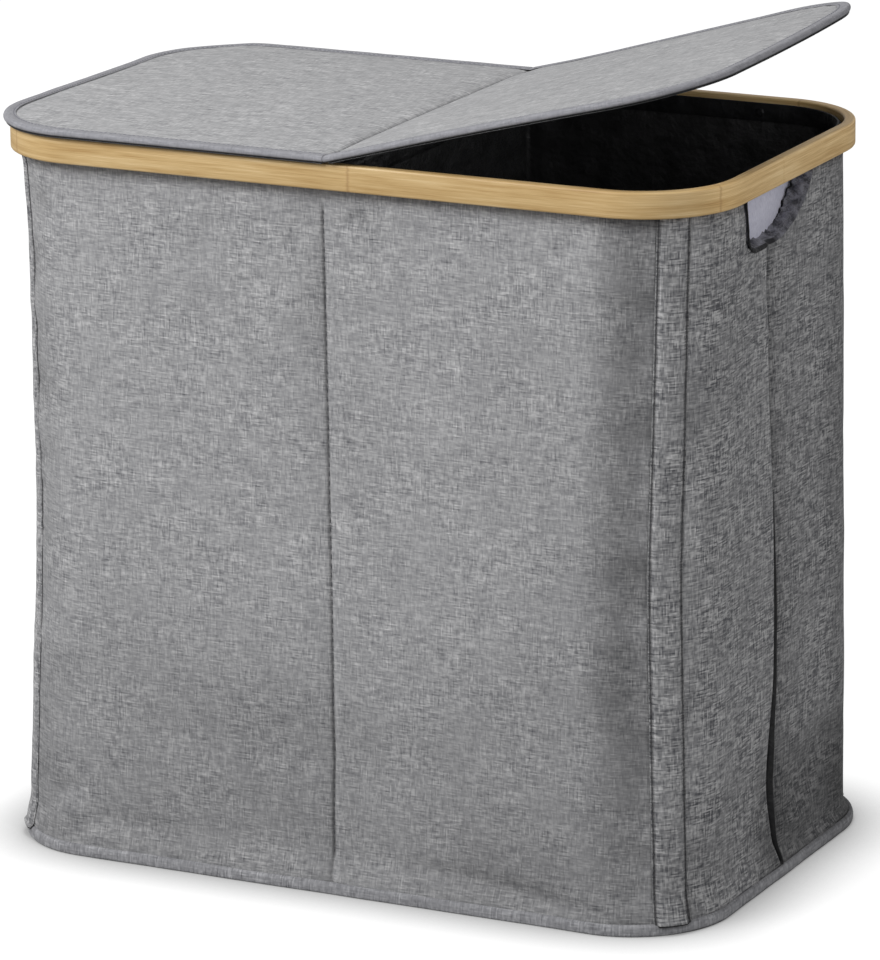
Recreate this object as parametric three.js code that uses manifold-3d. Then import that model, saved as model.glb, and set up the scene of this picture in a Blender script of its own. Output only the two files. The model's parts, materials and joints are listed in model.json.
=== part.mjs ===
// A laundry hamper with two bins: a soft fabric body under a bamboo rim, with a lid over each bin.
// Millimetres, +Z up. The origin is on the floor under the middle of the rim, and the front is -Y.
import * as THREE from 'three';
import { mergeVertices } from 'three/addons/utils/BufferGeometryUtils.js';
import Module from 'manifold-3d';

const wasm = await Module();
wasm.setup();

// Bamboo rim
const rimWidth = 540;
const rimDepth = 315;
const rimCornerRadius = 69;
const rimTop = 506;
const rimHeight = 18;
const rimThickness = 8;
const rimEdgeRound = 1.6;
const rimJointY = 0;

// Fabric wall, from the base up into the rim
const baseNarrowing = 20;
const baseSpread = 13;
const baseCornerRadius = 65;
const wallPull = 2.5;
const shellThickness = 1.2;
const shellHemRise = 12;
const sideSeamY = -20;

// Bottom of the hamper
const coverThickness = 1;
const baseBoardThickness = 3;
const hemProud = 6;
const hemHeight = 7.5;
const hemRound = 1.4;

// Linings of the two bins, and the divider between them
const linerThickness = 0.8;
const dividerThickness = 3;
const bandThickness = 1.5;
const bandHeight = 13;
const bandDrop = 3;

// Corner slats, which carry the rim, and the casings that hold them
const slatWidth = 18;
const slatThickness = 2.5;
const casingThickness = 0.8;
const casingHem = 3.5;
const frontCasingAngle = 42;
const rearCasingAngle = 33;
const casingEndLift = 1;

// Bar across the middle of the rim, and the sewn hinge on it
const barWidth = 18;
const barHeight = 14;
const barDrop = 2;
const dowelRadius = 3;
const dowelInRim = 5;
const dowelInBar = 14;
const hingeWebThickness = 1;
const hingeFlangeWidth = 16;
const hingeFlangeThickness = 0.8;
const hingeTackCount = 5;
const hingeTackSide = 5;
const hingeTackEnd = 22;

// Lids
const lidOverhang = 4.5;
const lidBoardThickness = 2.2;
const lidBoardSetback = 9;
const lidFabricThickness = 0.6;
const lidBindingThickness = 0.7;
const lidBindingReach = 9;
const lidBindingRound = 2.2;
const lidHingeGap = 0.9;
const hingeLift = 0.9;
const rightLidRaised = 14.5;

// Handles in the two side walls
const handleWidth = 112;
const handleDrop = 42;
const handleY = -8;
const handleSquareness = 2.4;
const handleBindingThickness = 2;
const handleBindingProud = 1;
const handleBindingDepth = 6;
const pocketThickness = 0.8;
const pocketDepth = 24;
const pocketShoulder = 14;
const pocketTaper = 7;
const pocketShoulderTaper = 1.8;

// Upholstery tacks
const tackShankRadius = 0.9;
const tackShankLength = 8;
const tackPointLength = 2.5;
const tackHeadRadius = 3.2;
const tackHeadThickness = 0.9;
const tackCrownShare = 0.7;
const frontTackShares = [-0.9, -0.35, 0.35, 0.9];
const sideTackShares = [-0.75, 0.75];

// Space left between neighbouring pieces, and the overrun of every cut
const clearance = 0.3;
const overrun = 10;

// Steps of the curved outlines. A plan says how finely the runs between the corners are divided:
// each half of a face or side has that many steps.
const curvedPlan = { face: 5, side: 4 };
const straightPlan = { face: 1, side: 1 };
const cornerSteps = 8;
const roundSteps = 2;
const wallSteps = 6;
const handleSteps = 16;
const tackSides = 8;
const dowelSides = 12;

// Sizes that follow from the ones above
const baseWidth = rimWidth - baseNarrowing;
const baseDepth = rimDepth + baseSpread;
const lidCornerRadius = rimCornerRadius + lidOverhang;
const rimBottom = rimTop - rimHeight;
const shellBottom = coverThickness + clearance;
const shellTop = rimBottom + shellHemRise;
const boardBottom = coverThickness + clearance;
const boardTop = boardBottom + baseBoardThickness;
const linerBottom = boardTop + clearance;
const linerInset = shellThickness + clearance;
const bandInset = linerInset + linerThickness + clearance;
const bandTop = rimTop - bandDrop;
const barTop = rimTop - barDrop;
const barBottom = barTop - barHeight;
const barEnd = rimDepth / 2 - rimThickness - clearance;
const tackHeight = bandTop - bandHeight / 2;
const lidBottom = rimTop + clearance;
const lidPanels = lidBoardThickness + 2 * lidFabricThickness;
const lidThickness = 2 * lidBindingThickness + lidPanels + 4 * clearance;
const lidTop = lidBottom + lidThickness;
const hingeHeight = lidTop + hingeLift;
const wallTopHalfWidth = rimWidth / 2 - rimThickness - clearance;

const mix = THREE.MathUtils.lerp;
const bow = (share) => Math.cos((share * Math.PI) / 2);

// Solids

// A closed solid from points and triangles, turned to face outwards.
function solid(points, triangles) {
  const at = (index) => new THREE.Vector3(...points[index]);
  const volume = triangles.reduce((sum, [a, b, c]) => sum + at(a).dot(at(b).cross(at(c))), 0);
  const facing = volume > 0 ? triangles : triangles.map(([a, b, c]) => [a, c, b]);
  return new wasm.Manifold(new wasm.Mesh({
    numProp: 3,
    vertProperties: new Float32Array(points.flat()),
    triVerts: new Uint32Array(facing.flat()),
  }));
}

// Triangles across a ring of points, joining each point to the one opposite it.
function ladder(start, count) {
  const triangles = [];
  for (let near = 0; near < count / 2 - 1; near += 1) {
    const far = count - 1 - near;
    triangles.push([start + near, start + near + 1, start + far]);
    if (near + 1 < far - 1) {
      triangles.push([start + near + 1, start + far - 1, start + far]);
    }
  }
  return triangles;
}

// A skin through rings of points, capped at both ends or closed on itself.
function loft(rings, isLoop = false) {
  const count = rings[0].length;
  const triangles = [];
  for (let ring = 0; ring < rings.length - (isLoop ? 0 : 1); ring += 1) {
    const here = ring * count;
    const next = ((ring + 1) % rings.length) * count;
    for (let point = 0; point < count; point += 1) {
      const after = (point + 1) % count;
      triangles.push([here + point, here + after, next + after]);
      triangles.push([here + point, next + after, next + point]);
    }
  }
  if (!isLoop) {
    const reversed = ladder(0, count).map(([a, b, c]) => [a, c, b]);
    triangles.push(...reversed, ...ladder((rings.length - 1) * count, count));
  }
  return solid(rings.flat(), triangles);
}

// A profile of insets and heights, carried along the stations of an outline.
function sweep(stations, sizeAt, profile, isLoop = false) {
  const ringAt = (station) =>
    profile.map(([inset, height]) => [...station(sizeAt(height, inset)), height]);
  return loft(stations.map(ringAt), isLoop);
}

// Whole outlines stacked from the lowest level to the highest.
function stack(stations, sizeAt, levels) {
  const ringAt = ([inset, height]) =>
    stations.map((station) => [...station(sizeAt(height, inset)), height]);
  return loft(levels.map(ringAt));
}

function fromGeometry(geometry) {
  const bare = geometry.clone();
  bare.deleteAttribute('normal');
  bare.deleteAttribute('uv');
  const merged = mergeVertices(bare);
  return new wasm.Manifold(new wasm.Mesh({
    numProp: 3,
    vertProperties: new Float32Array(merged.attributes.position.array),
    triVerts: new Uint32Array(merged.index.array),
  }));
}

function toGeometry(body) {
  const mesh = body.getMesh();
  const geometry = new THREE.BufferGeometry();
  geometry.setAttribute('position', new THREE.BufferAttribute(mesh.vertProperties, 3));
  geometry.setIndex(new THREE.BufferAttribute(mesh.triVerts, 1));
  geometry.computeVertexNormals();
  return geometry;
}

function boxBetween(low, high) {
  const size = high.map((value, axis) => value - low[axis]);
  const centre = high.map((value, axis) => (value + low[axis]) / 2);
  return fromGeometry(new THREE.BoxGeometry(...size).translate(...centre));
}

const cutAll = (body, cutters) => cutters.reduce((rest, cutter) => rest.subtract(cutter), body);

// Outlines

// Size of a rounded outline, moved in by an inset.
function outlineSize(width, depth, radius, inset) {
  const size = {
    halfWidth: width / 2 - inset,
    halfDepth: depth / 2 - inset,
    radius: radius - inset,
    pull: 0,
  };
  size.faceReach = size.halfWidth - size.radius;
  size.sideReach = size.halfDepth - size.radius;
  return size;
}

// The wall leans in from the base to the rim and is pulled in a little between its corners.
function wallAt(height, inset) {
  const rise = Math.min(height / rimBottom, 1);
  const topInset = 2 * (rimThickness + clearance);
  const width = mix(baseWidth, rimWidth - topInset, rise);
  const depth = mix(baseDepth, rimDepth - topInset, rise);
  const radius = mix(baseCornerRadius, rimCornerRadius - topInset / 2, rise);
  const size = outlineSize(width, depth, radius, inset);
  size.pull = wallPull * Math.sin(Math.PI * rise);
  return size;
}

const rimAt = (height, inset) => outlineSize(rimWidth, rimDepth, rimCornerRadius, inset);

function binAt(height, inset) {
  const centreX = dividerThickness / 2 + clearance + inset;
  return { ...wallAt(height, linerInset + inset), centreX };
}

function bandAt(height, inset) {
  const centreX = barWidth / 2 + clearance;
  return { ...wallAt(height, bandInset + inset), centreX };
}

function lidAt(height, inset) {
  const growth = 2 * lidOverhang;
  const size = outlineSize(rimWidth + growth, rimDepth + growth, lidCornerRadius, inset);
  return { ...size, centreX: lidHingeGap };
}

// A lid's board stops short of the hinge, so that the cloth over it can fold.
const lidBoardAt = (height, inset) =>
  ({ ...lidAt(height, inset), centreX: lidHingeGap + lidBoardSetback });

// Stations: places on an outline, worked out when its size is known.

const onFace = (signY, xOf) => (size) => {
  const x = xOf(size);
  return [x, signY * (size.halfDepth - size.pull * bow(x / size.faceReach))];
};

const onSide = (signX, yOf) => (size) => {
  const y = yOf(size);
  return [signX * (size.halfWidth - size.pull * bow(y / size.sideReach)), y];
};

// A corner's angle runs from 0 at the front or rear face to 90 at the side.
const onCorner = (signX, signY, degrees, proud = 0) => (size) => {
  const angle = THREE.MathUtils.degToRad(degrees);
  const reach = size.radius + proud;
  return [
    signX * (size.faceReach + reach * Math.sin(angle)),
    signY * (size.sideReach + reach * Math.cos(angle)),
  ];
};

const range = (count) => Array.from({ length: count }, (_, index) => index);

const corner = (signX, signY) =>
  range(cornerSteps + 1).map((step) => onCorner(signX, signY, (90 * step) / cornerSteps));

// From the right seam round the front or the rear to the left seam.
function halfLoop(signY, seamY, plan) {
  const toCorner = (signX) =>
    range(plan.side).map((step) =>
      onSide(signX, (size) => mix(seamY, signY * size.sideReach, step / plan.side)));
  const face = range(2 * plan.face - 1).map((step) =>
    onFace(signY, (size) => size.faceReach * (1 - (step + 1) / plan.face)));
  return [
    ...toCorner(1),
    ...corner(1, signY).reverse(),
    ...face,
    ...corner(-1, signY),
    ...toCorner(-1).reverse(),
  ];
}

function wholeLoop(plan) {
  const rear = halfLoop(1, rimJointY, plan).reverse().slice(1, -1);
  return [...halfLoop(-1, rimJointY, plan), ...rear];
}

// The outline of one bin or lid, from the middle of the front round to the middle of the rear.
function binLoop(signX, plan) {
  const face = (signY) =>
    range(plan.face).map((step) =>
      onFace(signY, (size) => signX * mix(size.centreX, size.faceReach, step / plan.face)));
  const side = range(2 * plan.side - 1).map((step) =>
    onSide(signX, (size) => size.sideReach * ((step + 1) / plan.side - 1)));
  return [
    ...face(-1),
    ...corner(signX, -1),
    ...side,
    ...corner(signX, 1).reverse(),
    ...face(1).reverse(),
  ];
}

// Profiles

// A plain strip between two insets, with one point on each side at every height.
function bandProfile(outer, inner, heights) {
  const rising = heights.map((height) => [outer, height]);
  const falling = heights.map((height) => [inner, height]).reverse();
  return [...rising, ...falling];
}

// A strip with rounded edges.
function roundedProfile(outer, inner, low, high, radius) {
  const rising = [];
  const falling = [];
  for (const [centre, start] of [[low + radius, -90], [high - radius, 0]]) {
    for (const step of range(roundSteps + 1)) {
      const angle = THREE.MathUtils.degToRad(start + (90 * step) / roundSteps);
      const height = centre + radius * Math.sin(angle);
      const side = radius - radius * Math.cos(angle);
      rising.push([outer + side, height]);
      falling.unshift([inner - side, height]);
    }
  }
  return [...rising, ...falling];
}

// A tape folded round an edge: open towards the inside, with a rounded back.
function foldedProfile(reach, low, high, thickness, radius) {
  const layer = (gap) => {
    const points = [[reach, low + gap]];
    for (const [centre, start] of [[low + radius, -90], [high - radius, 0]]) {
      for (const step of range(roundSteps + 1)) {
        const angle = THREE.MathUtils.degToRad(start + (90 * step) / roundSteps);
        const bend = radius - gap;
        points.push([radius - bend * Math.cos(angle), centre + bend * Math.sin(angle)]);
      }
    }
    points.push([reach, high - gap]);
    return points;
  };
  return [...layer(0), ...layer(thickness).reverse()];
}

const heightsBetween = (low, high, steps) =>
  range(steps + 1).map((step) => mix(low, high, step / steps));

// Materials

const paint = (color, roughness, metalness = 0) =>
  new THREE.MeshStandardMaterial({ color, roughness, metalness });

const bamboo = paint(0xcdaf78, 0.5);
const greyFabric = paint(0x8c8e92, 0.95);
const greyBinding = paint(0x82828e, 0.9);
const palePocket = paint(0x9c9cae, 0.85);
const blackLining = paint(0x141416, 0.6);
const fibreboard = paint(0x8a6f50, 0.8);
const slatPlastic = paint(0xd9d9d6, 0.5);
const tackSteel = paint(0x2a2a2c, 0.4, 0.8);

// Assembly

const hamper = new THREE.Group();

function addPiece(name, body, material, parent = hamper) {
  const mesh = new THREE.Mesh(toGeometry(body), material);
  mesh.name = name;
  parent.add(mesh);
  return mesh;
}

const sides = [['left', -1], ['right', 1]];
const ends = [['front', -1], ['rear', 1]];

// Tacks point along +Y of their own frame, with the underside of the head at its origin.
const underHead = clearance;
const tackOutline = [
  [0, -tackHeadThickness],
  [tackHeadRadius * tackCrownShare, -tackHeadThickness],
  [tackHeadRadius, 0],
  [tackShankRadius, 0],
  [tackShankRadius, tackShankLength - tackPointLength],
  [0, tackShankLength],
].map(([radius, along]) => new THREE.Vector2(radius, along));
const tackBody = fromGeometry(new THREE.LatheGeometry(tackOutline, tackSides));
const tackHoleRadius = tackShankRadius + clearance;
const tackHoleLength = tackShankLength + 2 * clearance;
const tackHole = new THREE.CylinderGeometry(tackHoleRadius, tackHoleRadius, tackHoleLength, tackSides)
  .translate(0, tackHoleLength / 2 - clearance, 0);

function placeTack(position, direction) {
  const turn = new THREE.Quaternion().setFromUnitVectors(new THREE.Vector3(0, 1, 0), direction);
  return new THREE.Matrix4().compose(position, turn, new THREE.Vector3(1, 1, 1));
}

// Rim tacks stand against the inner band and point out into the bamboo.
const tackInset = bandInset + bandThickness + underHead;
const rimTackPlaces = [];
for (const [, signY] of ends) {
  for (const share of frontTackShares) {
    const size = wallAt(tackHeight, tackInset);
    const position = new THREE.Vector3(share * size.faceReach, signY * size.halfDepth, tackHeight);
    rimTackPlaces.push(placeTack(position, new THREE.Vector3(0, signY, 0)));
  }
}
for (const [, signX] of sides) {
  for (const share of sideTackShares) {
    const size = wallAt(tackHeight, tackInset);
    const position = new THREE.Vector3(signX * size.halfWidth, share * size.sideReach, tackHeight);
    rimTackPlaces.push(placeTack(position, new THREE.Vector3(signX, 0, 0)));
  }
}
const rimTackHoles = rimTackPlaces.map((place) => fromGeometry(tackHole.clone().applyMatrix4(place)));

// Hinge tacks go down through the tape into the bar, by turns on either side of the web.
const flangeBottom = barTop + clearance;
const flangeTop = flangeBottom + hingeFlangeThickness;
const hingeTackPlaces = range(hingeTackCount).map((index) => {
  const y = mix(hingeTackEnd - barEnd, barEnd - hingeTackEnd, index / (hingeTackCount - 1));
  const x = index % 2 === 0 ? hingeTackSide : -hingeTackSide;
  return placeTack(new THREE.Vector3(x, y, flangeTop + underHead), new THREE.Vector3(0, 0, -1));
});
const hingeTackHoles = hingeTackPlaces.map((place) =>
  fromGeometry(tackHole.clone().applyMatrix4(place)));

// Dowels join the ends of the bar to the rim.
const dowelHeight = (barTop + barBottom) / 2;
const dowelLength = dowelInRim + dowelInBar;

function dowel(signY, radius, length) {
  const middle = barEnd + clearance + (dowelInRim - dowelInBar) / 2;
  const shape = new THREE.CylinderGeometry(radius, radius, length, dowelSides);
  return fromGeometry(shape.translate(0, signY * middle, dowelHeight));
}

const dowelHoles = ends.map(([, signY]) =>
  dowel(signY, dowelRadius + clearance, dowelLength + 2 * clearance));

// Room for the bar through the hems
const barNotch = boxBetween(
  [-barWidth / 2 - clearance, -rimDepth / 2, barBottom - clearance],
  [barWidth / 2 + clearance, rimDepth / 2, rimTop],
);

// The handle's outline hangs from the rim: flat on top, with a full round bottom.
function handleRing(x, inset, top) {
  const ring = range(handleSteps + 1).map((step) => {
    const angle = (Math.PI * step) / handleSteps;
    const power = 2 / handleSquareness;
    const across = Math.sign(Math.cos(angle)) * Math.abs(Math.cos(angle)) ** power;
    const down = Math.abs(Math.sin(angle)) ** power;
    return [
      x,
      handleY + (handleWidth / 2 - inset) * across,
      Math.min(rimBottom - (handleDrop - inset) * down, top),
    ];
  });
  const first = ring[0];
  const last = ring[ring.length - 1];
  return [[x, first[1], top + clearance], ...ring, [x, last[1], top + clearance]];
}

// Rim halves, glued end to end at the sides
const rimProfile = roundedProfile(0, rimThickness, rimBottom, rimTop, rimEdgeRound);
for (const [end, signY] of ends) {
  const joint = rimJointY + (signY * clearance) / 2;
  const body = sweep(halfLoop(signY, joint, straightPlan), rimAt, rimProfile);
  addPiece(`rim_${end}`, cutAll(body, [...rimTackHoles, ...dowelHoles]), bamboo);
}

// Centre bar and its dowels
const bar = boxBetween([-barWidth / 2, -barEnd, barBottom], [barWidth / 2, barEnd, barTop]);
addPiece('centre_bar', cutAll(bar, [...hingeTackHoles, ...dowelHoles]), bamboo);
for (const [end, signY] of ends) {
  addPiece(`bar_dowel_${end}`, dowel(signY, dowelRadius, dowelLength), bamboo);
}

// Handle openings, bindings and pockets
const handleCuts = sides.map(([, signX]) =>
  loft([
    handleRing(signX * (wallTopHalfWidth - pocketDepth), 0, rimBottom - clearance),
    handleRing(signX * (wallTopHalfWidth + overrun), 0, rimBottom - clearance),
  ]));

for (const [side, signX] of sides) {
  const outside = wallTopHalfWidth + handleBindingProud;
  const inside = outside - handleBindingDepth;
  const outer = loft([inside, outside].map((x) =>
    handleRing(signX * x, clearance, rimBottom - 2 * clearance)));
  const inner = loft([inside - overrun, outside + overrun].map((x) =>
    handleRing(signX * x, clearance + handleBindingThickness, rimBottom + overrun)));
  addPiece(`handle_binding_${side}`, outer.subtract(inner), greyBinding);

  const pocketInset = handleBindingThickness + 2 * clearance;
  const mouth = wallTopHalfWidth - clearance;
  const pocketRing = (depth, taper, wall) =>
    handleRing(signX * (mouth - depth), pocketInset + taper + wall, rimBottom - 2 * clearance - wall);
  const skin = loft([
    pocketRing(0, 0, 0),
    pocketRing(pocketShoulder, pocketShoulderTaper, 0),
    pocketRing(pocketDepth, pocketTaper, 0),
  ]);
  const hollow = loft([
    pocketRing(-overrun, 0, pocketThickness),
    pocketRing(0, 0, pocketThickness),
    pocketRing(pocketShoulder, pocketShoulderTaper, pocketThickness),
    pocketRing(pocketDepth - pocketThickness, pocketTaper, pocketThickness),
  ]);
  addPiece(`handle_pocket_${side}`, skin.subtract(hollow), palePocket);
}

// Shell halves, sewn together at the sides
const wallHeights = heightsBetween(shellBottom, rimBottom, wallSteps);
const shellProfile = bandProfile(0, shellThickness, [...wallHeights, shellTop]);
for (const [end, signY] of ends) {
  const seam = sideSeamY + (signY * clearance) / 2;
  const body = sweep(halfLoop(signY, seam, curvedPlan), wallAt, shellProfile);
  addPiece(`shell_${end}`, cutAll(body, [...rimTackHoles, ...handleCuts, barNotch]), greyFabric);
}

// Lining of each bin
for (const [side, signX] of sides) {
  const loop = binLoop(signX, curvedPlan);
  const heights = heightsBetween(linerBottom, rimBottom, wallSteps);
  const outer = stack(loop, binAt, [...heights, shellTop].map((height) => [0, height]));
  const hollowHeights = [linerBottom + linerThickness, ...heights.slice(1), shellTop + overrun];
  const inner = stack(loop, binAt, hollowHeights.map((height) => [linerThickness, height]));
  const cuts = [inner, barNotch, ...rimTackHoles, ...handleCuts];
  addPiece(`liner_${side}`, cutAll(outer, cuts), blackLining);
}

// Bands that clamp the hems inside the rim
const bandStrip = bandProfile(0, bandThickness, [bandTop - bandHeight, bandTop]);
for (const [side, signX] of sides) {
  const body = sweep(binLoop(signX, straightPlan), bandAt, bandStrip);
  addPiece(`hem_band_${side}`, cutAll(body, rimTackHoles), blackLining);
}

// Divider between the bins
const dividerHalf = dividerThickness / 2;
const dividerLoop = [[-1, -1], [1, -1], [1, 1], [-1, 1]].map(([signX, signY]) =>
  onFace(signY, () => signX * dividerHalf));
const dividerLevels = heightsBetween(linerBottom, barBottom - clearance, wallSteps)
  .map((height) => [linerInset, height]);
addPiece('divider_board', stack(dividerLoop, wallAt, dividerLevels), fibreboard);

// Base: cover, stiff board and the binding that closes the hem
const baseLoop = wholeLoop(straightPlan);
addPiece('base_cover', stack(baseLoop, wallAt, [[0, 0], [0, coverThickness]]), greyFabric);
const boardLevels = [boardBottom, boardTop].map((height) => [linerInset, height]);
addPiece('base_board', stack(baseLoop, wallAt, boardLevels), fibreboard);
const hemProfile = roundedProfile(-hemProud, -clearance, 0, hemHeight, hemRound);
addPiece('base_binding', sweep(baseLoop, wallAt, hemProfile, true), greyBinding);

// Corner slats and their casings
const slatBottom = hemHeight + clearance;
const slatTop = rimBottom - clearance;
const casingBottom = hemHeight + casingEndLift;
const quarterTurn = 90;
const arcDegrees = (length) => THREE.MathUtils.radToDeg(length / baseCornerRadius);
const slatSpread = arcDegrees(slatWidth / 2);
const tunnelSpread = slatSpread + arcDegrees(clearance);
const casingSpread = tunnelSpread + arcDegrees(casingHem);
const casingOver = slatThickness + 2 * clearance;
const frontCasingAngles = { left: quarterTurn - frontCasingAngle, right: frontCasingAngle };
for (const [end, signY] of ends) {
  for (const [side, signX] of sides) {
    const middle = signY > 0 ? rearCasingAngle : frontCasingAngles[side];
    const at = (turn, proud) => onCorner(signX, signY, middle + turn, proud);
    const strip = (turns, low, high) => [
      ...turns.map((turn) => at(turn, high)),
      ...turns.map((turn) => at(turn, low)).reverse(),
    ];
    const slatLoop = strip([-slatSpread, 0, slatSpread], clearance, clearance + slatThickness);
    const slatLevels = [[0, slatBottom], [0, slatTop]];
    addPiece(`corner_slat_${end}_${side}`, stack(slatLoop, wallAt, slatLevels), slatPlastic);

    const outside = [
      at(-casingSpread, clearance + casingThickness),
      at(-tunnelSpread - arcDegrees(casingThickness), clearance + casingThickness),
      at(-tunnelSpread - arcDegrees(casingThickness), casingOver + casingThickness),
      at(0, casingOver + casingThickness),
      at(tunnelSpread + arcDegrees(casingThickness), casingOver + casingThickness),
      at(tunnelSpread + arcDegrees(casingThickness), clearance + casingThickness),
      at(casingSpread, clearance + casingThickness),
    ];
    const inside = [
      at(-casingSpread, clearance),
      at(-tunnelSpread, clearance),
      at(-tunnelSpread, casingOver),
      at(0, casingOver),
      at(tunnelSpread, casingOver),
      at(tunnelSpread, clearance),
      at(casingSpread, clearance),
    ];
    const casingLoop = [...outside, ...inside.reverse()];
    const casingLevels = [[0, casingBottom], [0, slatTop]];
    addPiece(`corner_casing_${end}_${side}`, stack(casingLoop, wallAt, casingLevels), greyFabric);
  }
}

// Hinge tape: a flange tacked to the bar and a web that rises between the lids
const webHalf = hingeWebThickness / 2;
const webTop = lidTop + clearance;
const flange = boxBetween(
  [-hingeFlangeWidth / 2, -barEnd, flangeBottom],
  [hingeFlangeWidth / 2, barEnd, flangeTop],
);
const web = boxBetween([-webHalf, -barEnd, flangeBottom], [webHalf, barEnd, webTop]);
addPiece('hinge_tape', cutAll(flange.add(web), hingeTackHoles), blackLining);

// Tacks
const tackGeometry = toGeometry(tackBody);
for (const [name, places] of [['rim_tack', rimTackPlaces], ['hinge_tack', hingeTackPlaces]]) {
  places.forEach((place, index) => {
    const tack = new THREE.Mesh(tackGeometry, tackSteel);
    tack.name = `${name}_${String(index + 1).padStart(2, '0')}`;
    tack.applyMatrix4(place);
    hamper.add(tack);
  });
}

// Lids: a board between two fabrics, with a folded tape round the three outer edges
const panelInset = lidBindingRound + clearance;
const undersideBottom = lidBottom + lidBindingThickness + clearance;
const undersideTop = undersideBottom + lidFabricThickness;
const lidBoardBottom = undersideTop + clearance;
const lidBoardTop = lidBoardBottom + lidBoardThickness;
const topCoverBottom = lidBoardTop + clearance;
const topCoverTop = topCoverBottom + lidFabricThickness;
const bindingProfile =
  foldedProfile(lidBindingReach, lidBottom, lidTop, lidBindingThickness, lidBindingRound);

for (const [side, signX] of sides) {
  const lid = new THREE.Group();
  const outline = binLoop(signX, straightPlan);
  const panel = (low, high, sizeAt = lidAt) =>
    stack(outline, sizeAt, [[panelInset, low], [panelInset, high]]);
  const pieces = [
    [`lid_board_${side}`, panel(lidBoardBottom, lidBoardTop, lidBoardAt), fibreboard],
    [`lid_top_cover_${side}`, panel(topCoverBottom, topCoverTop), greyFabric],
    [`lid_underside_${side}`, panel(undersideBottom, undersideTop), blackLining],
    [`lid_binding_${side}`, sweep(outline, lidAt, bindingProfile), greyBinding],
  ];
  for (const [name, body, material] of pieces) {
    addPiece(name, body, material, lid).position.z = -hingeHeight;
  }
  lid.position.z = hingeHeight;
  if (signX > 0) {
    lid.rotation.y = -THREE.MathUtils.degToRad(rightLidRaised);
  }
  hamper.add(lid);
}

export default hamper;
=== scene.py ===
import json
import math

import bmesh
import bpy
import numpy as np
from mathutils import Matrix, Vector, noise


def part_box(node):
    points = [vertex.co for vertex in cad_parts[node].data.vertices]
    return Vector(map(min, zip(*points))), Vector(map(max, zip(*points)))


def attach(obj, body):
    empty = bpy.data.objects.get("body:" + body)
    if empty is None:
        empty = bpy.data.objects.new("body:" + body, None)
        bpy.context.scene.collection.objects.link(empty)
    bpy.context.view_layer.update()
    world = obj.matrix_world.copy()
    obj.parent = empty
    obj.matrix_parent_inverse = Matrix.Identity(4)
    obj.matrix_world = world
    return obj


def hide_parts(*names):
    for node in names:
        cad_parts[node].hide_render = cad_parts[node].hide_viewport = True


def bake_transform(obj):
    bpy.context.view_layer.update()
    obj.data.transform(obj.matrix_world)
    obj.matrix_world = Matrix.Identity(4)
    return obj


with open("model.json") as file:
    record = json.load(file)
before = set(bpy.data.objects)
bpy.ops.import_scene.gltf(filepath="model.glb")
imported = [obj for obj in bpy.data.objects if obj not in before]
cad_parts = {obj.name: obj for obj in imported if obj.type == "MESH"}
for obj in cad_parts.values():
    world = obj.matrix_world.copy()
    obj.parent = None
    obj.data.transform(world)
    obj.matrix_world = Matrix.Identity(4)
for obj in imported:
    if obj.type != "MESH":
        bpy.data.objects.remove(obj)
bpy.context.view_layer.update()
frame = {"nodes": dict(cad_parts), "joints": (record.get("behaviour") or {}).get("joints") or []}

scene = bpy.context.scene
scene.view_settings.view_transform = "Standard"

SIDES = (("left", -1), ("right", 1))
ENDS = (("front", -1), ("rear", 1))
QUARTER = math.pi / 2


# Camera

VIEW_AZIMUTH = math.radians(26.52)
VIEW_ELEVATION = math.radians(15.49)
VIEW_ROLL = math.radians(-0.68)
VIEW_DISTANCE = 4.3864
VIEW_TARGET = Vector((0.003, 0.0, 0.2498))
LENS_LENGTH = 237.4
SENSOR_WIDTH = 36.0


def make_camera():
    data = bpy.data.cameras.new("camera")
    data.lens = LENS_LENGTH
    data.sensor_width = SENSOR_WIDTH
    camera = bpy.data.objects.new("camera", data)
    flat = math.cos(VIEW_ELEVATION)
    back = Vector((math.sin(VIEW_AZIMUTH) * flat, -math.cos(VIEW_AZIMUTH) * flat,
                   math.sin(VIEW_ELEVATION)))
    level = Vector((0, 0, 1)).cross(back).normalized()
    upright = back.cross(level)
    right = level * math.cos(VIEW_ROLL) + upright * math.sin(VIEW_ROLL)
    up = upright * math.cos(VIEW_ROLL) - level * math.sin(VIEW_ROLL)
    turn = Matrix((right, up, back)).transposed().to_4x4()
    camera.matrix_world = Matrix.Translation(VIEW_TARGET + back * VIEW_DISTANCE) @ turn
    scene.collection.objects.link(camera)
    scene.camera = camera


make_camera()


# Sizes read from the frame

RIM_HIGH = Vector(map(max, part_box("rim_front")[1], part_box("rim_rear")[1]))
RIM_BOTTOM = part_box("rim_front")[0].z
RIM_TOP = RIM_HIGH.z
BASE_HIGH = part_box("base_cover")[1]
SHELL_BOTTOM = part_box("shell_front")[0].z
SHELL_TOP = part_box("shell_front")[1].z
HEM_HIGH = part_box("base_binding")[1]
LINER_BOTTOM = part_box("liner_left")[0].z
BAND_LOW, BAND_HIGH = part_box("hem_band_right")
BAR_LOW, BAR_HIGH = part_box("centre_bar")
TAPE_LOW, TAPE_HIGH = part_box("hinge_tape")
DIVIDER_LOW, DIVIDER_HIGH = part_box("divider_board")
LID_LOW, LID_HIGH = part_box("lid_binding_left")
HOLD_LOW, HOLD_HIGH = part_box("handle_binding_right")
HINGE = Vector(frame["joints"][0]["pos_m"])
RAISED = math.radians(-frame["joints"][1]["range_deg"][0])

# Sizes of the cloth body that the boxes don't give
CLEARANCE = 0.0003
RIM_THICKNESS = 0.008
RIM_CORNER = 0.069
BASE_CORNER = 0.065
WALL_PULL = 0.0025
CLOTH_THICKNESS = 0.0008
SHELL_THICKNESS = 0.0012
TOP_INSET = RIM_THICKNESS + CLEARANCE


def mix(low, high, share):
    return low + (high - low) * share


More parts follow.
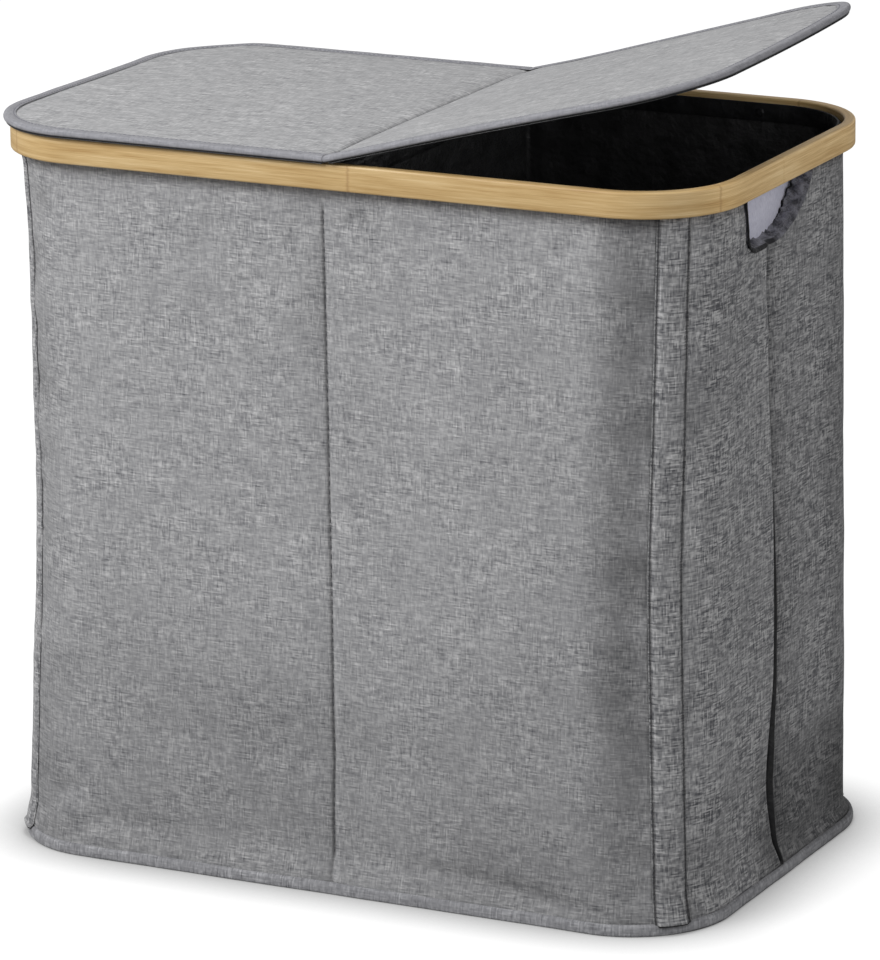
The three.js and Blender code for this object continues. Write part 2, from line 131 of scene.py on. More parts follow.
def smooth(share):
    held = np.clip(share, 0.0, 1.0)
    return held * held * (3 - 2 * held)


def bell(distance, width):
    return np.exp(-((distance / width) ** 2))


def line(distance, amount, width):
    """A soft line, by the distance from its middle."""
    return amount * bell(distance, width)


def fading(distance, reach):
    """1 beside a seam, fading away from it on one side."""
    return np.where(distance > 0, np.exp(-np.abs(distance) / reach), 0.0)


def curve(at, knots):
    """A smooth curve through knots of (place, value), flat beyond the ends."""
    place_of, value = np.array(knots, float).T
    slope = np.gradient(value, place_of)
    slope[[0, -1]] = 0.0
    at = np.asarray(at, float)
    index = np.clip(np.searchsorted(place_of, at) - 1, 0, len(place_of) - 2)
    width = place_of[index + 1] - place_of[index]
    t = np.clip((at - place_of[index]) / width, 0, 1)
    rising, falling = t * t * (3 - 2 * t), t * (1 - t)
    return (mix(value[index], value[index + 1], rising)
            + width * falling * (slope[index] * (1 - t) - slope[index + 1] * t))


def triples(x, y, z):
    """Points of three arrays or numbers, spread over one another."""
    return np.stack(np.broadcast_arrays(x, y, z), -1)


def noise_at(x, y, z):
    """Smooth noise between about -1 and 1 at each point of some arrays."""
    points = triples(x, y, z)
    values = [noise.noise(point) for point in points.reshape(-1, 3).tolist()]
    return np.array(values).reshape(points.shape[:-1])


def drift(seed, x, y):
    """Noise in a plane, its own for each seed."""
    return noise_at(x, y, seed * 7.31)


# Outlines

class Outline:
    """A rounded outline. Its sizes may be arrays, one for each height."""

    def __init__(self, half_width, half_depth, radius, pull=0.0):
        self.half_width = half_width
        self.half_depth = half_depth
        self.radius = radius
        self.pull = pull
        self.face = half_width - radius
        self.side = half_depth - radius

    def marks(self):
        """Distances from the middle of the front to the corners' ends and the middle of the rear."""
        arc = self.radius * QUARTER
        return np.cumsum([self.face, arc, 2 * self.side, arc, self.face])


def wall_outline(height, inset=0.0):
    rise = np.clip(np.asarray(height, float) / RIM_BOTTOM, 0.0, 1.0)
    half_width = mix(BASE_HIGH.x, RIM_HIGH.x - TOP_INSET, rise) - inset
    half_depth = mix(BASE_HIGH.y, RIM_HIGH.y - TOP_INSET, rise) - inset
    radius = mix(BASE_CORNER, RIM_CORNER - TOP_INSET, rise) - inset
    return Outline(half_width, half_depth, radius, WALL_PULL * np.sin(math.pi * rise))


def rim_outline(height, inset=0.0):
    return Outline(RIM_HIGH.x - inset, RIM_HIGH.y - inset, RIM_CORNER - inset)


LID_HALF_WIDTH = -LID_LOW.x
LID_HALF_DEPTH = LID_HIGH.y
LID_CORNER = RIM_CORNER + LID_HALF_WIDTH - RIM_HIGH.x


def lid_outline(height, inset=0.0):
    return Outline(LID_HALF_WIDTH - inset, LID_HALF_DEPTH - inset, LID_CORNER - inset)


WALL = wall_outline(RIM_BOTTOM / 2)
RIM = rim_outline(RIM_TOP)
LID = lid_outline(RIM_TOP)
HALF_ROUND = WALL.marks()[4]


def place(outline, around, reference):
    """Points and outward directions at distances round from the middle of the front."""
    mark = reference.marks()
    away = np.abs(around)
    sign = np.where(np.asarray(around) < 0, -1.0, 1.0)
    zones = [away <= mark[0], away <= mark[1], away <= mark[2], away <= mark[3]]
    first = np.clip((away - mark[0]) / reference.radius, 0, QUARTER)
    second = QUARTER + np.clip((away - mark[2]) / reference.radius, 0, QUARTER)
    along_face = away / reference.face
    along_side = (away - mark[1]) / reference.side - 1
    along_rear = (mark[4] - away) / reference.face

    def bow(share):
        return outline.pull * np.cos(np.clip(share, -1, 1) * QUARTER)

    angle = np.select(zones, [0 * away, first, 0 * away + QUARTER, second], math.pi)
    x = np.select(zones, [
        outline.face * along_face,
        outline.face + outline.radius * np.sin(first),
        outline.half_width - bow(along_side),
        outline.face + outline.radius * np.sin(second),
    ], outline.face * along_rear)
    y = np.select(zones, [
        bow(along_face) - outline.half_depth,
        -outline.side - outline.radius * np.cos(first),
        outline.side * along_side,
        outline.side - outline.radius * np.cos(second),
    ], outline.half_depth - bow(along_rear))
    return sign * x, y, sign * np.sin(angle), -np.cos(angle)


def onward(right):
    """Stations on the right side, carried on past the rear's middle to the left side."""
    return np.concatenate([right, -right[::-1][1:]])


def around_of_side(y):
    """Distance round the wall of a place on the right side."""
    return WALL.marks()[1] + WALL.side + y


# Meshes

def make_piece(name, points, faces, material, body, cloth=None, sharp=None, shade=None):
    """A mesh that rides on a body. Its cloth coordinates and its shade lie at its points."""
    mesh = bpy.data.meshes.new(name)
    mesh.from_pydata(np.reshape(points, (-1, 3)).tolist(), [], faces)
    mesh.polygons.foreach_set("use_smooth", [True] * len(mesh.polygons))
    for label, values in (("cloth", cloth), ("shade", shade)):
        if values is not None:
            attribute = mesh.attributes.new(label, "FLOAT_VECTOR", "POINT")
            attribute.data.foreach_set("vector", np.asarray(values, np.float32).ravel())
    if sharp is not None:
        mesh.set_sharp_from_angle(angle=math.radians(sharp))
    mesh.materials.append(material)
    piece = bpy.data.objects.new(name, mesh)
    scene.collection.objects.link(piece)
    if body:
        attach(piece, body)
    return piece


def lattice(rows, columns, looped_rows=False, looped_columns=False, keep=None, capped=False):
    """Quads over a grid of points that is numbered row by row, with or without its end faces."""
    faces = []
    for row in range(rows if looped_rows else rows - 1):
        for column in range(columns if looped_columns else columns - 1):
            if keep is not None and not keep[row][column]:
                continue
            below, after = (row + 1) % rows, (column + 1) % columns
            faces.append((row * columns + column, row * columns + after,
                          below * columns + after, below * columns + column))
    if capped:
        faces += [tuple(range(columns)), last_row(rows, columns)[::-1]]
    return faces


def last_row(rows, columns):
    return tuple(range((rows - 1) * columns, rows * columns))


def tube(rows, columns):
    """The faces of a closed bar, one ring of points to a row."""
    return lattice(rows, columns, looped_columns=True, capped=True)


def bag(rows, columns, keep=None):
    """The faces of rings of points one below the other, with a floor in the last one."""
    return [*lattice(rows, columns, looped_columns=True, keep=keep), last_row(rows, columns)]


def facing(faces, sign):
    """The faces, turned over where the sign is below zero."""
    return [face[::-1] for face in faces] if sign < 0 else faces


def thicken(piece, thickness, offset=-1.0):
    layer = piece.modifiers.new("thickness", "SOLIDIFY")
    layer.thickness = thickness
    layer.offset = offset
    layer.use_even_offset = False
    return piece


def spread(start, finish, spacing, fine_at=(), offsets=()):
    """Evenly spaced places, with more of them beside the places in fine_at."""
    count = max(1, round(abs(finish - start) / spacing))
    places = list(np.linspace(start, finish, count + 1))
    low, high = min(start, finish), max(start, finish)
    fine = [at + sign * step for at in fine_at for step in offsets for sign in (-1, 1)]
    fine = [at for at in fine if low < at < high]
    closest = spacing / 3
    inner = [p for p in places[1:-1] if all(abs(p - f) > closest for f in fine)]
    chosen = sorted({places[0], places[-1], *inner, *fine}, reverse=bool(start > finish))
    return np.array(chosen)


def sweep(name, outline_at, around, profile, reference, material, body, looped=False,
          closed=True, sharp=None, shift=None, shade_at=None, finish=None):
    """A profile of (inset, height) points carried round an outline."""
    insets, heights = np.array(profile, float).T
    around = np.asarray(around, float)
    grid_inset, grid_around = np.meshgrid(insets, around)
    grid_height = np.meshgrid(heights, around)[0]
    if shift is not None:
        grid_inset, grid_height = shift(grid_around, grid_inset, grid_height)
    x, y, _, _ = place(outline_at(grid_height, grid_inset), grid_around, reference)
    points = triples(x, y, grid_height)
    faces = lattice(len(around), len(insets), looped, closed, capped=closed and not looped)
    if finish is not None:
        points, faces = finish(points, faces)
    steps = np.hypot(np.diff(insets, append=insets[0]), np.diff(heights, append=heights[0]))
    across = np.concatenate([[0], np.cumsum(steps)[:-1]])
    shade = None if shade_at is None else shade_at(grid_around, grid_height)
    return make_piece(name, points, faces, material, body, triples(grid_around, across, 0),
                      sharp, shade)


def arc_points(centre, radius, start, finish, steps):
    angles = [math.radians(mix(start, finish, step / steps)) for step in range(steps + 1)]
    return [(centre[0] + radius * math.cos(a), centre[1] + radius * math.sin(a)) for a in angles]


STITCH_SIDES = 6
STITCH_RINGS = ((-0.5, 0.35, -0.7), (-0.36, 0.85, -0.1), (0.0, 1.0, 0.25), (0.36, 0.85, -0.1),
                (0.5, 0.35, -0.7))


def sew(name, path, normals, pitch, length, radius, material, body, slot):
    """A row of stitches along a path, each a short bent thread half sunk in the cloth."""
    path, normals = np.asarray(path, float), np.asarray(normals, float)
    run = np.concatenate([[0], np.cumsum(np.linalg.norm(np.diff(path, axis=0), axis=1))])
    places = np.arange(pitch / 2, run[-1], pitch)

    def sample(values, at):
        return np.stack([np.interp(at, run, values[:, axis]) for axis in range(3)], -1)

    centre = sample(path, places)
    along = sample(path, places + pitch / 4) - sample(path, places - pitch / 4)
    along /= np.linalg.norm(along, axis=1, keepdims=True)
    out = sample(normals, places)
    out -= (out * along).sum(1, keepdims=True) * along
    out /= np.linalg.norm(out, axis=1, keepdims=True)
    beside = np.cross(along, out)
    points, faces = [], []
    one = tube(len(STITCH_RINGS), STITCH_SIDES)
    for index in range(len(places)):
        start = len(points)
        for share, girth, lift in STITCH_RINGS:
            middle = centre[index] + along[index] * share * length + out[index] * lift * radius
            for side in range(STITCH_SIDES):
                angle = 2 * math.pi * side / STITCH_SIDES
                points.append(middle + girth * radius * (beside[index] * math.cos(angle)
                                                         + out[index] * math.sin(angle)))
        faces += [tuple(start + i for i in face) for face in one]
    return make_piece(name, points, faces, material, body)


# Materials

LANE_STEP = 3.7


class Surface:
    """A node material built up step by step round one Principled shader."""

    def __init__(self, name, roughness, specular=0.5, sheen=0.0, metallic=0.0):
        self.material = bpy.data.materials.new(name)
        self.material.use_nodes = True
        self.tree = self.material.node_tree
        self.shader = self.tree.nodes["Principled BSDF"]
        self.shader.inputs["Roughness"].default_value = roughness
        self.shader.inputs["Specular IOR Level"].default_value = specular
        self.shader.inputs["Sheen Weight"].default_value = sheen
        self.shader.inputs["Metallic"].default_value = metallic

    def add(self, kind, inputs=None, **settings):
        node = self.tree.nodes.new(kind)
        for key, value in settings.items():
            setattr(node, key, value)
        for key, value in (inputs or {}).items():
            if isinstance(value, bpy.types.NodeSocket):
                self.tree.links.new(value, node.inputs[key])
            else:
                node.inputs[key].default_value = value
        return node

    def math(self, operation, *values, clamp=False):
        return self.add("ShaderNodeMath", dict(enumerate(values)), operation=operation,
                        use_clamp=clamp).outputs[0]

    def remap(self, value, start, finish, low=0.0, high=1.0):
        """A value between low and high as another one goes from start to finish."""
        return self.add("ShaderNodeMapRange", {
            "Value": value, "From Min": start, "From Max": finish, "To Min": low,
            "To Max": high}).outputs[0]

    def split(self, vector):
        return self.add("ShaderNodeSeparateXYZ", {0: vector}).outputs

    def cloth_coordinates(self):
        return self.add("ShaderNodeAttribute", attribute_name="cloth").outputs["Vector"]

    def marks(self):
        """The painted shade at each point of a piece, and a second value that raises the cloth's weave
        contrast or paints light on the bamboo; zero where it doesn't say.
        """
        return self.split(self.add("ShaderNodeAttribute", attribute_name="shade").outputs["Vector"])

    def object_coordinates(self):
        return self.add("ShaderNodeTexCoord").outputs["Object"]

    def stretched(self, coordinates, scale):
        return self.add("ShaderNodeMapping", {"Vector": coordinates, "Scale": scale}).outputs[0]

    def noise(self, coordinates, scale, detail=2.0, roughness=0.5):
        return self.add("ShaderNodeTexNoise", {
            "Vector": self.stretched(coordinates, scale), "Scale": 1.0, "Detail": detail,
            "Roughness": roughness}).outputs["Fac"]

    def threads(self, coordinates, along, across, pitch, slub, seed):
        """Threads side by side along one axis, each with slubs of its own."""
        axes = self.split(coordinates)
        lane = self.math("FLOOR", self.math("DIVIDE", axes[across], pitch))
        lane = self.math("MULTIPLY_ADD", lane, LANE_STEP, seed)
        run = self.math("DIVIDE", axes[along], slub)
        at = self.add("ShaderNodeCombineXYZ", {0: run, 1: lane}).outputs[0]
        return self.add("ShaderNodeTexNoise", {"Vector": at, "Scale": 1.0, "Detail": 2.0,
                                               "Roughness": 0.7},
                        noise_dimensions="2D").outputs["Fac"]

    def sum(self, *terms):
        """The sum of (socket, weight) terms, each taken about its middle, plus a half."""
        total = None
        for socket, weight in terms:
            about = self.math("SUBTRACT", socket, 0.5)
            total = self.math("MULTIPLY_ADD", about, weight, 0.5 if total is None else total)
        return total

    def ramp(self, factor, stops):
        node = self.add("ShaderNodeValToRGB", {"Fac": factor})
        elements = node.color_ramp.elements
        while len(elements) < len(stops):
            elements.new(0.5)
        for element, (position, colour) in zip(elements, stops):
            element.position = position
            element.color = (*colour, 1.0)
        return node.outputs["Color"]

    def blend(self, factor, first, second, mode="MIX"):
        node = self.add("ShaderNodeMix", data_type="RGBA", blend_type=mode)
        for socket, value in ((node.inputs[0], factor), (node.inputs[6], first),
                              (node.inputs[7], second)):
            if isinstance(value, bpy.types.NodeSocket):
                self.tree.links.new(value, socket)
            else:
                socket.default_value = value
        return node.outputs[2]

    def colour(self, socket):
        self.tree.links.new(socket, self.shader.inputs["Base Color"])

    def bump(self, height, distance, strength=1.0):
        node = self.add("ShaderNodeBump", {"Height": height, "Distance": distance,
                                           "Strength": strength})
        self.tree.links.new(node.outputs[0], self.shader.inputs["Normal"])


WEFT_PITCH = 0.00095
WARP_PITCH = 0.00095
WEAVE_CONTRAST_GAIN = 1.3


def heathered(name, dark, middle, light, weft_weight=0.60, warp_weight=0.52, streak=0.0,
              from_object=False):
    """Woven melange cloth: threads that run both ways, each with pale and dark slubs."""
    surface = Surface(name, roughness=0.9, specular=0.2, sheen=0.1)
    coordinates = surface.object_coordinates() if from_object else surface.cloth_coordinates()
    marks = surface.marks()
    waver = surface.noise(coordinates, (30, 30, 30), detail=1.0)
    bent = surface.add("ShaderNodeVectorMath", {0: waver, 1: (0.0008, 0.0010, 0.0), 2: coordinates},
                       operation="MULTIPLY_ADD").outputs[0]
    weft = surface.threads(bent, 0, 1, WEFT_PITCH, 0.012, 0.3)
    warp = surface.threads(bent, 1, 0, WARP_PITCH, 0.010, 90.7)
    coarse_weft = surface.threads(bent, 0, 1, 2.1 * WEFT_PITCH, 0.022, 40.1)
    coarse_warp = surface.threads(bent, 1, 0, 2.1 * WARP_PITCH, 0.016, 60.1)
    patch = surface.noise(coordinates, (25, 30, 30), detail=2.0)
    mottle = surface.noise(coordinates, (14, 16, 16), detail=3.0, roughness=0.5)
    lean = surface.remap(patch, 0.38, 0.62, 0.65, 1.1)
    weaves = surface.sum((weft, weft_weight), (warp, warp_weight), (coarse_weft, 0.08 + streak),
                         (coarse_warp, 0.06))
    woven = surface.add("ShaderNodeMix", {0: lean, 2: 0.5, 3: weaves}, clamp_factor=False).outputs[0]
    # The shade attribute's second value raises the weave's contrast; on the side walls this stands in
    # for light grazing across the weave
    gain = surface.math("MULTIPLY_ADD", marks[1], WEAVE_CONTRAST_GAIN, 1.0)
    strong = surface.add("ShaderNodeMix", {0: gain, 2: 0.5, 3: woven}, clamp_factor=False).outputs[0]
    tone = surface.sum((strong, 1.0), (mottle, 0.07))
    woven_colour = surface.ramp(tone, ((0.2, dark), (0.5, middle), (0.82, light)))
    # Its first value is painted shade, which darkens the colour
    kept = surface.math("SUBTRACT", 1.0, marks[0], clamp=True)
    surface.colour(surface.blend(1.0, woven_colour, kept, "MULTIPLY"))
    surface.bump(surface.sum((weft, 0.9), (warp, 0.9)), 0.0005, 0.8)
    return surface.material


def taped(name, dark, light):
    """Plain woven tape with a fine rib across it."""
    surface = Surface(name, roughness=0.85, specular=0.25, sheen=0.1)
    coordinates = surface.cloth_coordinates()
    rib = surface.noise(coordinates, (1500, 260, 1500), detail=1.0)
    mottle = surface.noise(coordinates, (60, 60, 60), detail=3.0)
    tone = surface.sum((rib, 0.9), (mottle, 0.5))
    surface.colour(surface.ramp(tone, ((0.3, dark), (0.7, light))))
    surface.bump(rib, 0.0004, 0.7)
    return surface.material


HOLD_TAPE_LENGTH = 0.19


def edged_tape(name, edge, dark, light):
    """Crumpled tape, painted black for shadow along its lip where its depth in the hole is above zero,
    mostly towards the front of the hole, and along its ragged inner edge deep in the hole.
    """
    surface = Surface(name, roughness=0.8, specular=0.3, sheen=0.1)
    coordinates = surface.cloth_coordinates()
    blotch = surface.noise(coordinates, (110, 130, 60), detail=3.0, roughness=0.6)
    grain = surface.noise(coordinates, (900, 900, 900), detail=1.0)
    tone = surface.sum((blotch, 1.4), (grain, 0.5))
    cloth = surface.ramp(tone, ((0.32, dark), (0.68, light)))
    along, depth, _ = surface.split(coordinates)
    # Painted shadow: the gap along the lip towards the front, and the edge where the tape meets the
    # pocket
    outside = surface.remap(depth, -0.0008, -0.0003)
    in_front = surface.remap(along, 0.42 * HOLD_TAPE_LENGTH, 0.52 * HOLD_TAPE_LENGTH, 0.15)
    lip_shadow = surface.math("MULTIPLY", outside, in_front)
    ragged = surface.math("MULTIPLY_ADD", blotch, 0.004, depth)
    inside = surface.remap(ragged, -0.0088, -0.0082, 1.0, 0.0)
    black = surface.math("MAXIMUM", lip_shadow, inside)
    surface.colour(surface.blend(black, cloth, (*edge, 1.0)))
    surface.bump(blotch, 0.002, 0.6)
    return surface.material


# How much paler the bamboo is painted on the right side and at the rear, as painted light
RIM_PAINTED_LIGHT = 0.36
NODE_RING_SHARES = (0.0226, 0.36, -0.31, 0.74, -0.66)
NODE_RING_WIDTH = 0.0016


def bamboo_surface():
    """Strip bamboo: long straight fibres, fine dark flecks and a few node rings."""
    surface = Surface("bamboo", roughness=0.42, specular=0.4)
    coordinates = surface.cloth_coordinates()
    broad = surface.noise(coordinates, (9, 420, 1), detail=3.0, roughness=0.6)
    fibre = surface.noise(coordinates, (45, 3200, 1), detail=2.0, roughness=0.6)
    stain = surface.noise(coordinates, (14, 60, 1), detail=2.0)
    tone = surface.sum((broad, 0.9), (fibre, 0.7), (stain, 0.55))
    wood = surface.ramp(tone, ((0.22, (0.42, 0.25, 0.09)), (0.42, (0.54, 0.36, 0.155)),
                               (0.6, (0.64, 0.45, 0.215)), (0.8, (0.755, 0.575, 0.32))))
    along = surface.split(coordinates)[0]
    waver = surface.noise(coordinates, (1, 260, 1), detail=2.0)
    along = surface.math("MULTIPLY_ADD", waver, 0.004, along)
    rings = 0.0
    for share in NODE_RING_SHARES:
        away = surface.math("ABSOLUTE", surface.math("SUBTRACT", along, share * RIM.marks()[4]))
        rings = surface.math("MAXIMUM", rings, surface.remap(away, 0.0, NODE_RING_WIDTH, 1.0, 0.0))
    ringed = surface.blend(surface.math("MULTIPLY", rings, 0.55), wood, (0.36, 0.2, 0.08, 1.0))
    # Painted light: the shade attribute makes the bamboo paler on the right side and at the rear
    painted_light = surface.math("MULTIPLY_ADD", surface.marks()[1], RIM_PAINTED_LIGHT, 1.0)
    surface.colour(surface.blend(1.0, ringed, painted_light, "MULTIPLY"))
    surface.bump(fibre, 0.00015, 0.6)
    return surface.material


def coated(name, colour, roughness):
    """Black coated cloth: slightly glossy, with small dents."""
    surface = Surface(name, roughness=roughness, specular=0.45)
    coordinates = surface.object_coordinates()
    dents = surface.noise(coordinates, (60, 60, 60), detail=4.0, roughness=0.6)
    weave = surface.noise(coordinates, (1300, 1300, 1300), detail=1.0)
    pale = tuple(c * 2.2 for c in colour)
    surface.colour(surface.ramp(dents, ((0.3, colour), (0.75, pale))))
    surface.bump(surface.sum((dents, 3.0), (weave, 0.15)), 0.002, 0.6)
    return surface.material


def plain(name, dark, light, roughness, scale, grain, metallic=0.0):
    """A solid material with a fine grain and some variation in colour."""
    surface = Surface(name, roughness=roughness, metallic=metallic)
    coordinates = surface.object_coordinates()
    mottle = surface.noise(coordinates, scale, detail=4.0, roughness=0.6)
    surface.colour(surface.ramp(mottle, ((0.3, dark), (0.7, light))))
    surface.bump(mottle, grain, 0.5)
    return surface.material


grey_cloth = heathered("grey_fabric", (0.12, 0.122, 0.134), (0.335, 0.335, 0.343),
                       (0.66, 0.655, 0.66))
cover_cloth = heathered("lid_fabric", (0.14, 0.142, 0.152), (0.385, 0.385, 0.393),
                        (0.74, 0.737, 0.74), warp_weight=0.34, streak=0.2)
under_cloth = heathered("base_fabric", (0.13, 0.132, 0.138), (0.335, 0.338, 0.345),
                        (0.64, 0.645, 0.655), from_object=True)
lid_tape = heathered("lid_tape", (0.15, 0.15, 0.165), (0.285, 0.285, 0.307),
                     (0.47, 0.47, 0.50), weft_weight=0.45, warp_weight=0.3)
grey_tape = heathered("grey_binding", (0.12, 0.12, 0.132), (0.285, 0.285, 0.30),
                      (0.55, 0.55, 0.57), weft_weight=0.3, warp_weight=0.44)
# The hand holds' tape; its first colour is the painted black shadow
dark_tape = edged_tape("handle_tape", (0.006, 0.006, 0.008), (0.055, 0.055, 0.064),
                       (0.23, 0.23, 0.262))
pale_cloth = taped("pale_pocket", (0.59, 0.59, 0.71), (0.78, 0.78, 0.90))
bamboo = bamboo_surface()
bamboo_solid = plain("bamboo_bar", (0.52, 0.34, 0.15), (0.72, 0.52, 0.26), 0.45, (900, 14, 900),
                     0.0002)
black_cloth = coated("black_lining", (0.028, 0.028, 0.029), 0.36)
black_webbing = coated("black_webbing", (0.008, 0.008, 0.009), 0.6)
fibreboard = plain("fibreboard", (0.22, 0.15, 0.08), (0.36, 0.26, 0.16), 0.85, (400, 400, 400),
                   0.0003)
slat_plastic = plain("slat_plastic", (0.62, 0.62, 0.61), (0.74, 0.74, 0.73), 0.5, (90, 90, 90),
                     0.0001)
tack_steel = plain("tack_steel", (0.012, 0.012, 0.014), (0.03, 0.03, 0.033), 0.55, (900, 900, 900),
                   0.00005, metallic=0.4)
thread = plain("thread", (0.05, 0.05, 0.055), (0.09, 0.09, 0.1), 0.8, (2500, 2500, 2500), 0.0001)
lid_thread = plain("lid_thread", (0.14, 0.14, 0.16), (0.22, 0.22, 0.25), 0.8, (2500, 2500, 2500),
                   0.0001)


# The relief of the cloth walls

# The seam of a side wall, as its y at each height.
SEAM_PLACES = ((0.0, -0.0050), (0.03, -0.0135), (0.055, -0.017), (0.15, -0.011), (0.265, -0.013),
               (0.38, -0.0185), (0.444, -0.0185), (0.488, -0.0185))
SEAM_Y = -0.016
SEAM_SHIFT_WIDTH = 0.05
SIDE_SEAM = around_of_side(SEAM_Y)
CASING_TURN = math.radians(42)
REAR_CASING_TURN = math.radians(33)
CASING_HALF = 0.0119
WALL_MARKS = WALL.marks()
CASING_FRONT_RIGHT = WALL_MARKS[0] + WALL.radius * CASING_TURN
CASING_FRONT_LEFT = -(WALL_MARKS[0] + WALL.radius * (QUARTER - CASING_TURN))
CASING_REAR_RIGHT = WALL_MARKS[3] - WALL.radius * REAR_CASING_TURN
CASING_REAR_LEFT = -CASING_REAR_RIGHT
CASINGS = {("front", "right"): CASING_FRONT_RIGHT, ("front", "left"): CASING_FRONT_LEFT,
           ("rear", "right"): CASING_REAR_RIGHT, ("rear", "left"): CASING_REAR_LEFT}


def by_casing(*values):
    """A value for each casing, in the order of CASINGS."""
    return dict(zip(CASINGS, values))


# How far a casing strays sideways at each height
CASING_STRAY = {
    CASING_FRONT_RIGHT: ((0.0, 0.0050), (0.12, 0.0015), (0.25, -0.0020), (0.36, -0.0008),
                         (0.488, 0.0)),
    CASING_FRONT_LEFT: ((0.0, -0.0075), (0.12, -0.0090), (0.25, -0.0130), (0.488, -0.0155)),
    CASING_REAR_RIGHT: ((0.0, 0.0010), (0.25, -0.0012), (0.488, 0.0008)),
    CASING_REAR_LEFT: ((0.0, -0.0012), (0.25, 0.0010), (0.488, 0.0)),
}
CASING_STRAY_WIDTH = 0.03
# How far the front left corner is drawn in at each height
CORNER_PULL = ((0.0, 0.0), (0.04, 0.0008), (0.07, -0.0006), (0.10, -0.0020), (0.13, -0.0036),
               (0.16, -0.0052), (0.21, -0.0068), (0.27, -0.0076), (0.33, -0.0070), (0.38, -0.0060),
               (0.44, -0.0042), (0.488, -0.0020))
CORNER_PULL_WIDTH = 0.055

# The middle seams lean to one side towards the top.
SEAM_LEAN_TOP = -0.0085
SEAM_LEAN_WIDTH = 0.07
FLARE = 0.0042
FLARE_TOP = 0.03
REAR_FLARE_TOP = 0.015
HEM_TOP = HEM_HIGH.z


def seam_shift(height):
    """How far the side seams lie from SIDE_SEAM at a height."""
    return curve(height, SEAM_PLACES) - SEAM_Y


def drawn(around, height):
    """Places round the wall, drawn along with the middle seam and the side seams."""
    share = np.clip(height / RIM_BOTTOM, 0, 1)
    lean = SEAM_LEAN_TOP * share * bell(around, SEAM_LEAN_WIDTH)
    side = seam_shift(height) * bell(np.abs(around) - SIDE_SEAM, SEAM_SHIFT_WIDTH)
    stray = sum(curve(height, CASING_STRAY[centre]) * bell(around - centre, CASING_STRAY_WIDTH)
                for centre in CASINGS.values())
    return around + lean + np.sign(around) * side + stray


def on_side(y, height):
    """A place on the right wall, as its distance round and its height."""
    return (around_of_side(y), height)


# Creases in the front and right walls, as (distance round, height) from and to, width and height.
# A negative height is a valley.
CREASES = (
    ((0.003, 0.458), (0.028, 0.477), 0.0040, -0.0016),
    ((0.010, 0.452), (0.036, 0.466), 0.0050, 0.0008),
    ((-0.238, 0.484), (-0.204, 0.446), 0.0050, 0.0016),
    ((-0.228, 0.486), (-0.190, 0.452), 0.0050, -0.0014),
    ((-0.170, 0.486), (-0.120, 0.430), 0.0090, -0.0009),
    ((-0.070, 0.486), (-0.110, 0.420), 0.0100, -0.0009),
    ((-0.020, 0.480), (-0.045, 0.400), 0.0080, -0.0010),
    ((-0.186, 0.094), (0.140, 0.101), 0.0220, -0.0018),
    ((-0.228, 0.036), (-0.196, 0.052), 0.0060, -0.0030),
    ((-0.232, 0.018), (-0.190, 0.034), 0.0060, 0.0022),
    ((-0.190, 0.030), (-0.120, 0.024), 0.0060, -0.0012),
    ((0.060, 0.028), (0.190, 0.013), 0.0050, -0.0020),
    ((0.125, 0.032), (0.215, 0.020), 0.0050, 0.0014),
    ((0.150, 0.018), (0.214, 0.012), 0.0040, -0.0014),
    ((0.080, 0.480), (0.130, 0.440), 0.0080, -0.0012),
    ((0.190, 0.484), (0.150, 0.445), 0.0070, -0.0013),
    (on_side(-0.088, 0.486), on_side(-0.042, 0.440), 0.0090, 0.0022),
    (on_side(-0.042, 0.440), on_side(-0.024, 0.370), 0.0080, 0.0020),
    (on_side(-0.070, 0.452), on_side(-0.040, 0.400), 0.0090, -0.0012),
    (on_side(0.010, 0.050), on_side(0.105, 0.080), 0.0160, -0.0030),
    (on_side(0.000, 0.026), on_side(0.060, 0.036), 0.0090, 0.0020),
    (on_side(0.060, 0.440), on_side(0.095, 0.478), 0.0070, -0.0012),
    (on_side(0.020, 0.410), on_side(0.080, 0.450), 0.0090, 0.0010),
    (on_side(-0.075, 0.052), on_side(-0.028, 0.066), 0.0090, 0.0014),
)
# How far the right wall stands out beside its seam, how deep the seam lies, and how far the rear
# half of the wall steps in behind it, at each height.
SEAM_STAND = ((0.0, 0.0005), (0.03, 0.0015), (0.06, 0.0), (0.13, 0.0022), (0.26, 0.0020),
              (0.36, 0.0), (0.44, -0.0026), (0.486, -0.0012))
SEAM_DEPTH = ((0.0, 0.0020), (0.03, 0.0035), (0.09, 0.0035), (0.15, 0.0026), (0.24, 0.0020),
              (0.40, 0.0026), (0.486, 0.0018))
SEAM_STEP = ((0.0, 0.0008), (0.05, 0.0030), (0.12, 0.0034), (0.2, 0.0030), (0.3, 0.0036),
             (0.43, 0.0042), (0.486, 0.0014))
SEAM_REACH = 0.045
SEAM_GROOVES = (0.0016, 0.00272)
STEP_REACH = 0.013
PUCKER_PITCH = 0.019
PUCKER_REACH = 0.024
PUCKER_HEIGHTS = by_casing(0.0011, 0.0011, 0.000275, 0.0011)
# The cloth falls in beside the casings, towards the front and the rear
HOLLOW_DEPTHS = by_casing(0.0036, 0.0006, 0.0015, 0.0024)
HOLLOW_WIDTHS = (0.010, 0.030)
HOLLOW_START = CASING_HALF + 0.008
# Painted shade in those hollows, for each casing
HOLLOW_SHADES = by_casing(0.37, 0.06, 0.15, 0.2)

CASING_FOOT = 0.0062
CASING_FOOT_ROUND = 0.0034
CASING_RISE = 0.0019
CASING_SHOULDER = 0.0098
CASING_FLAT = 0.0082
CASING_STITCH = 0.0106
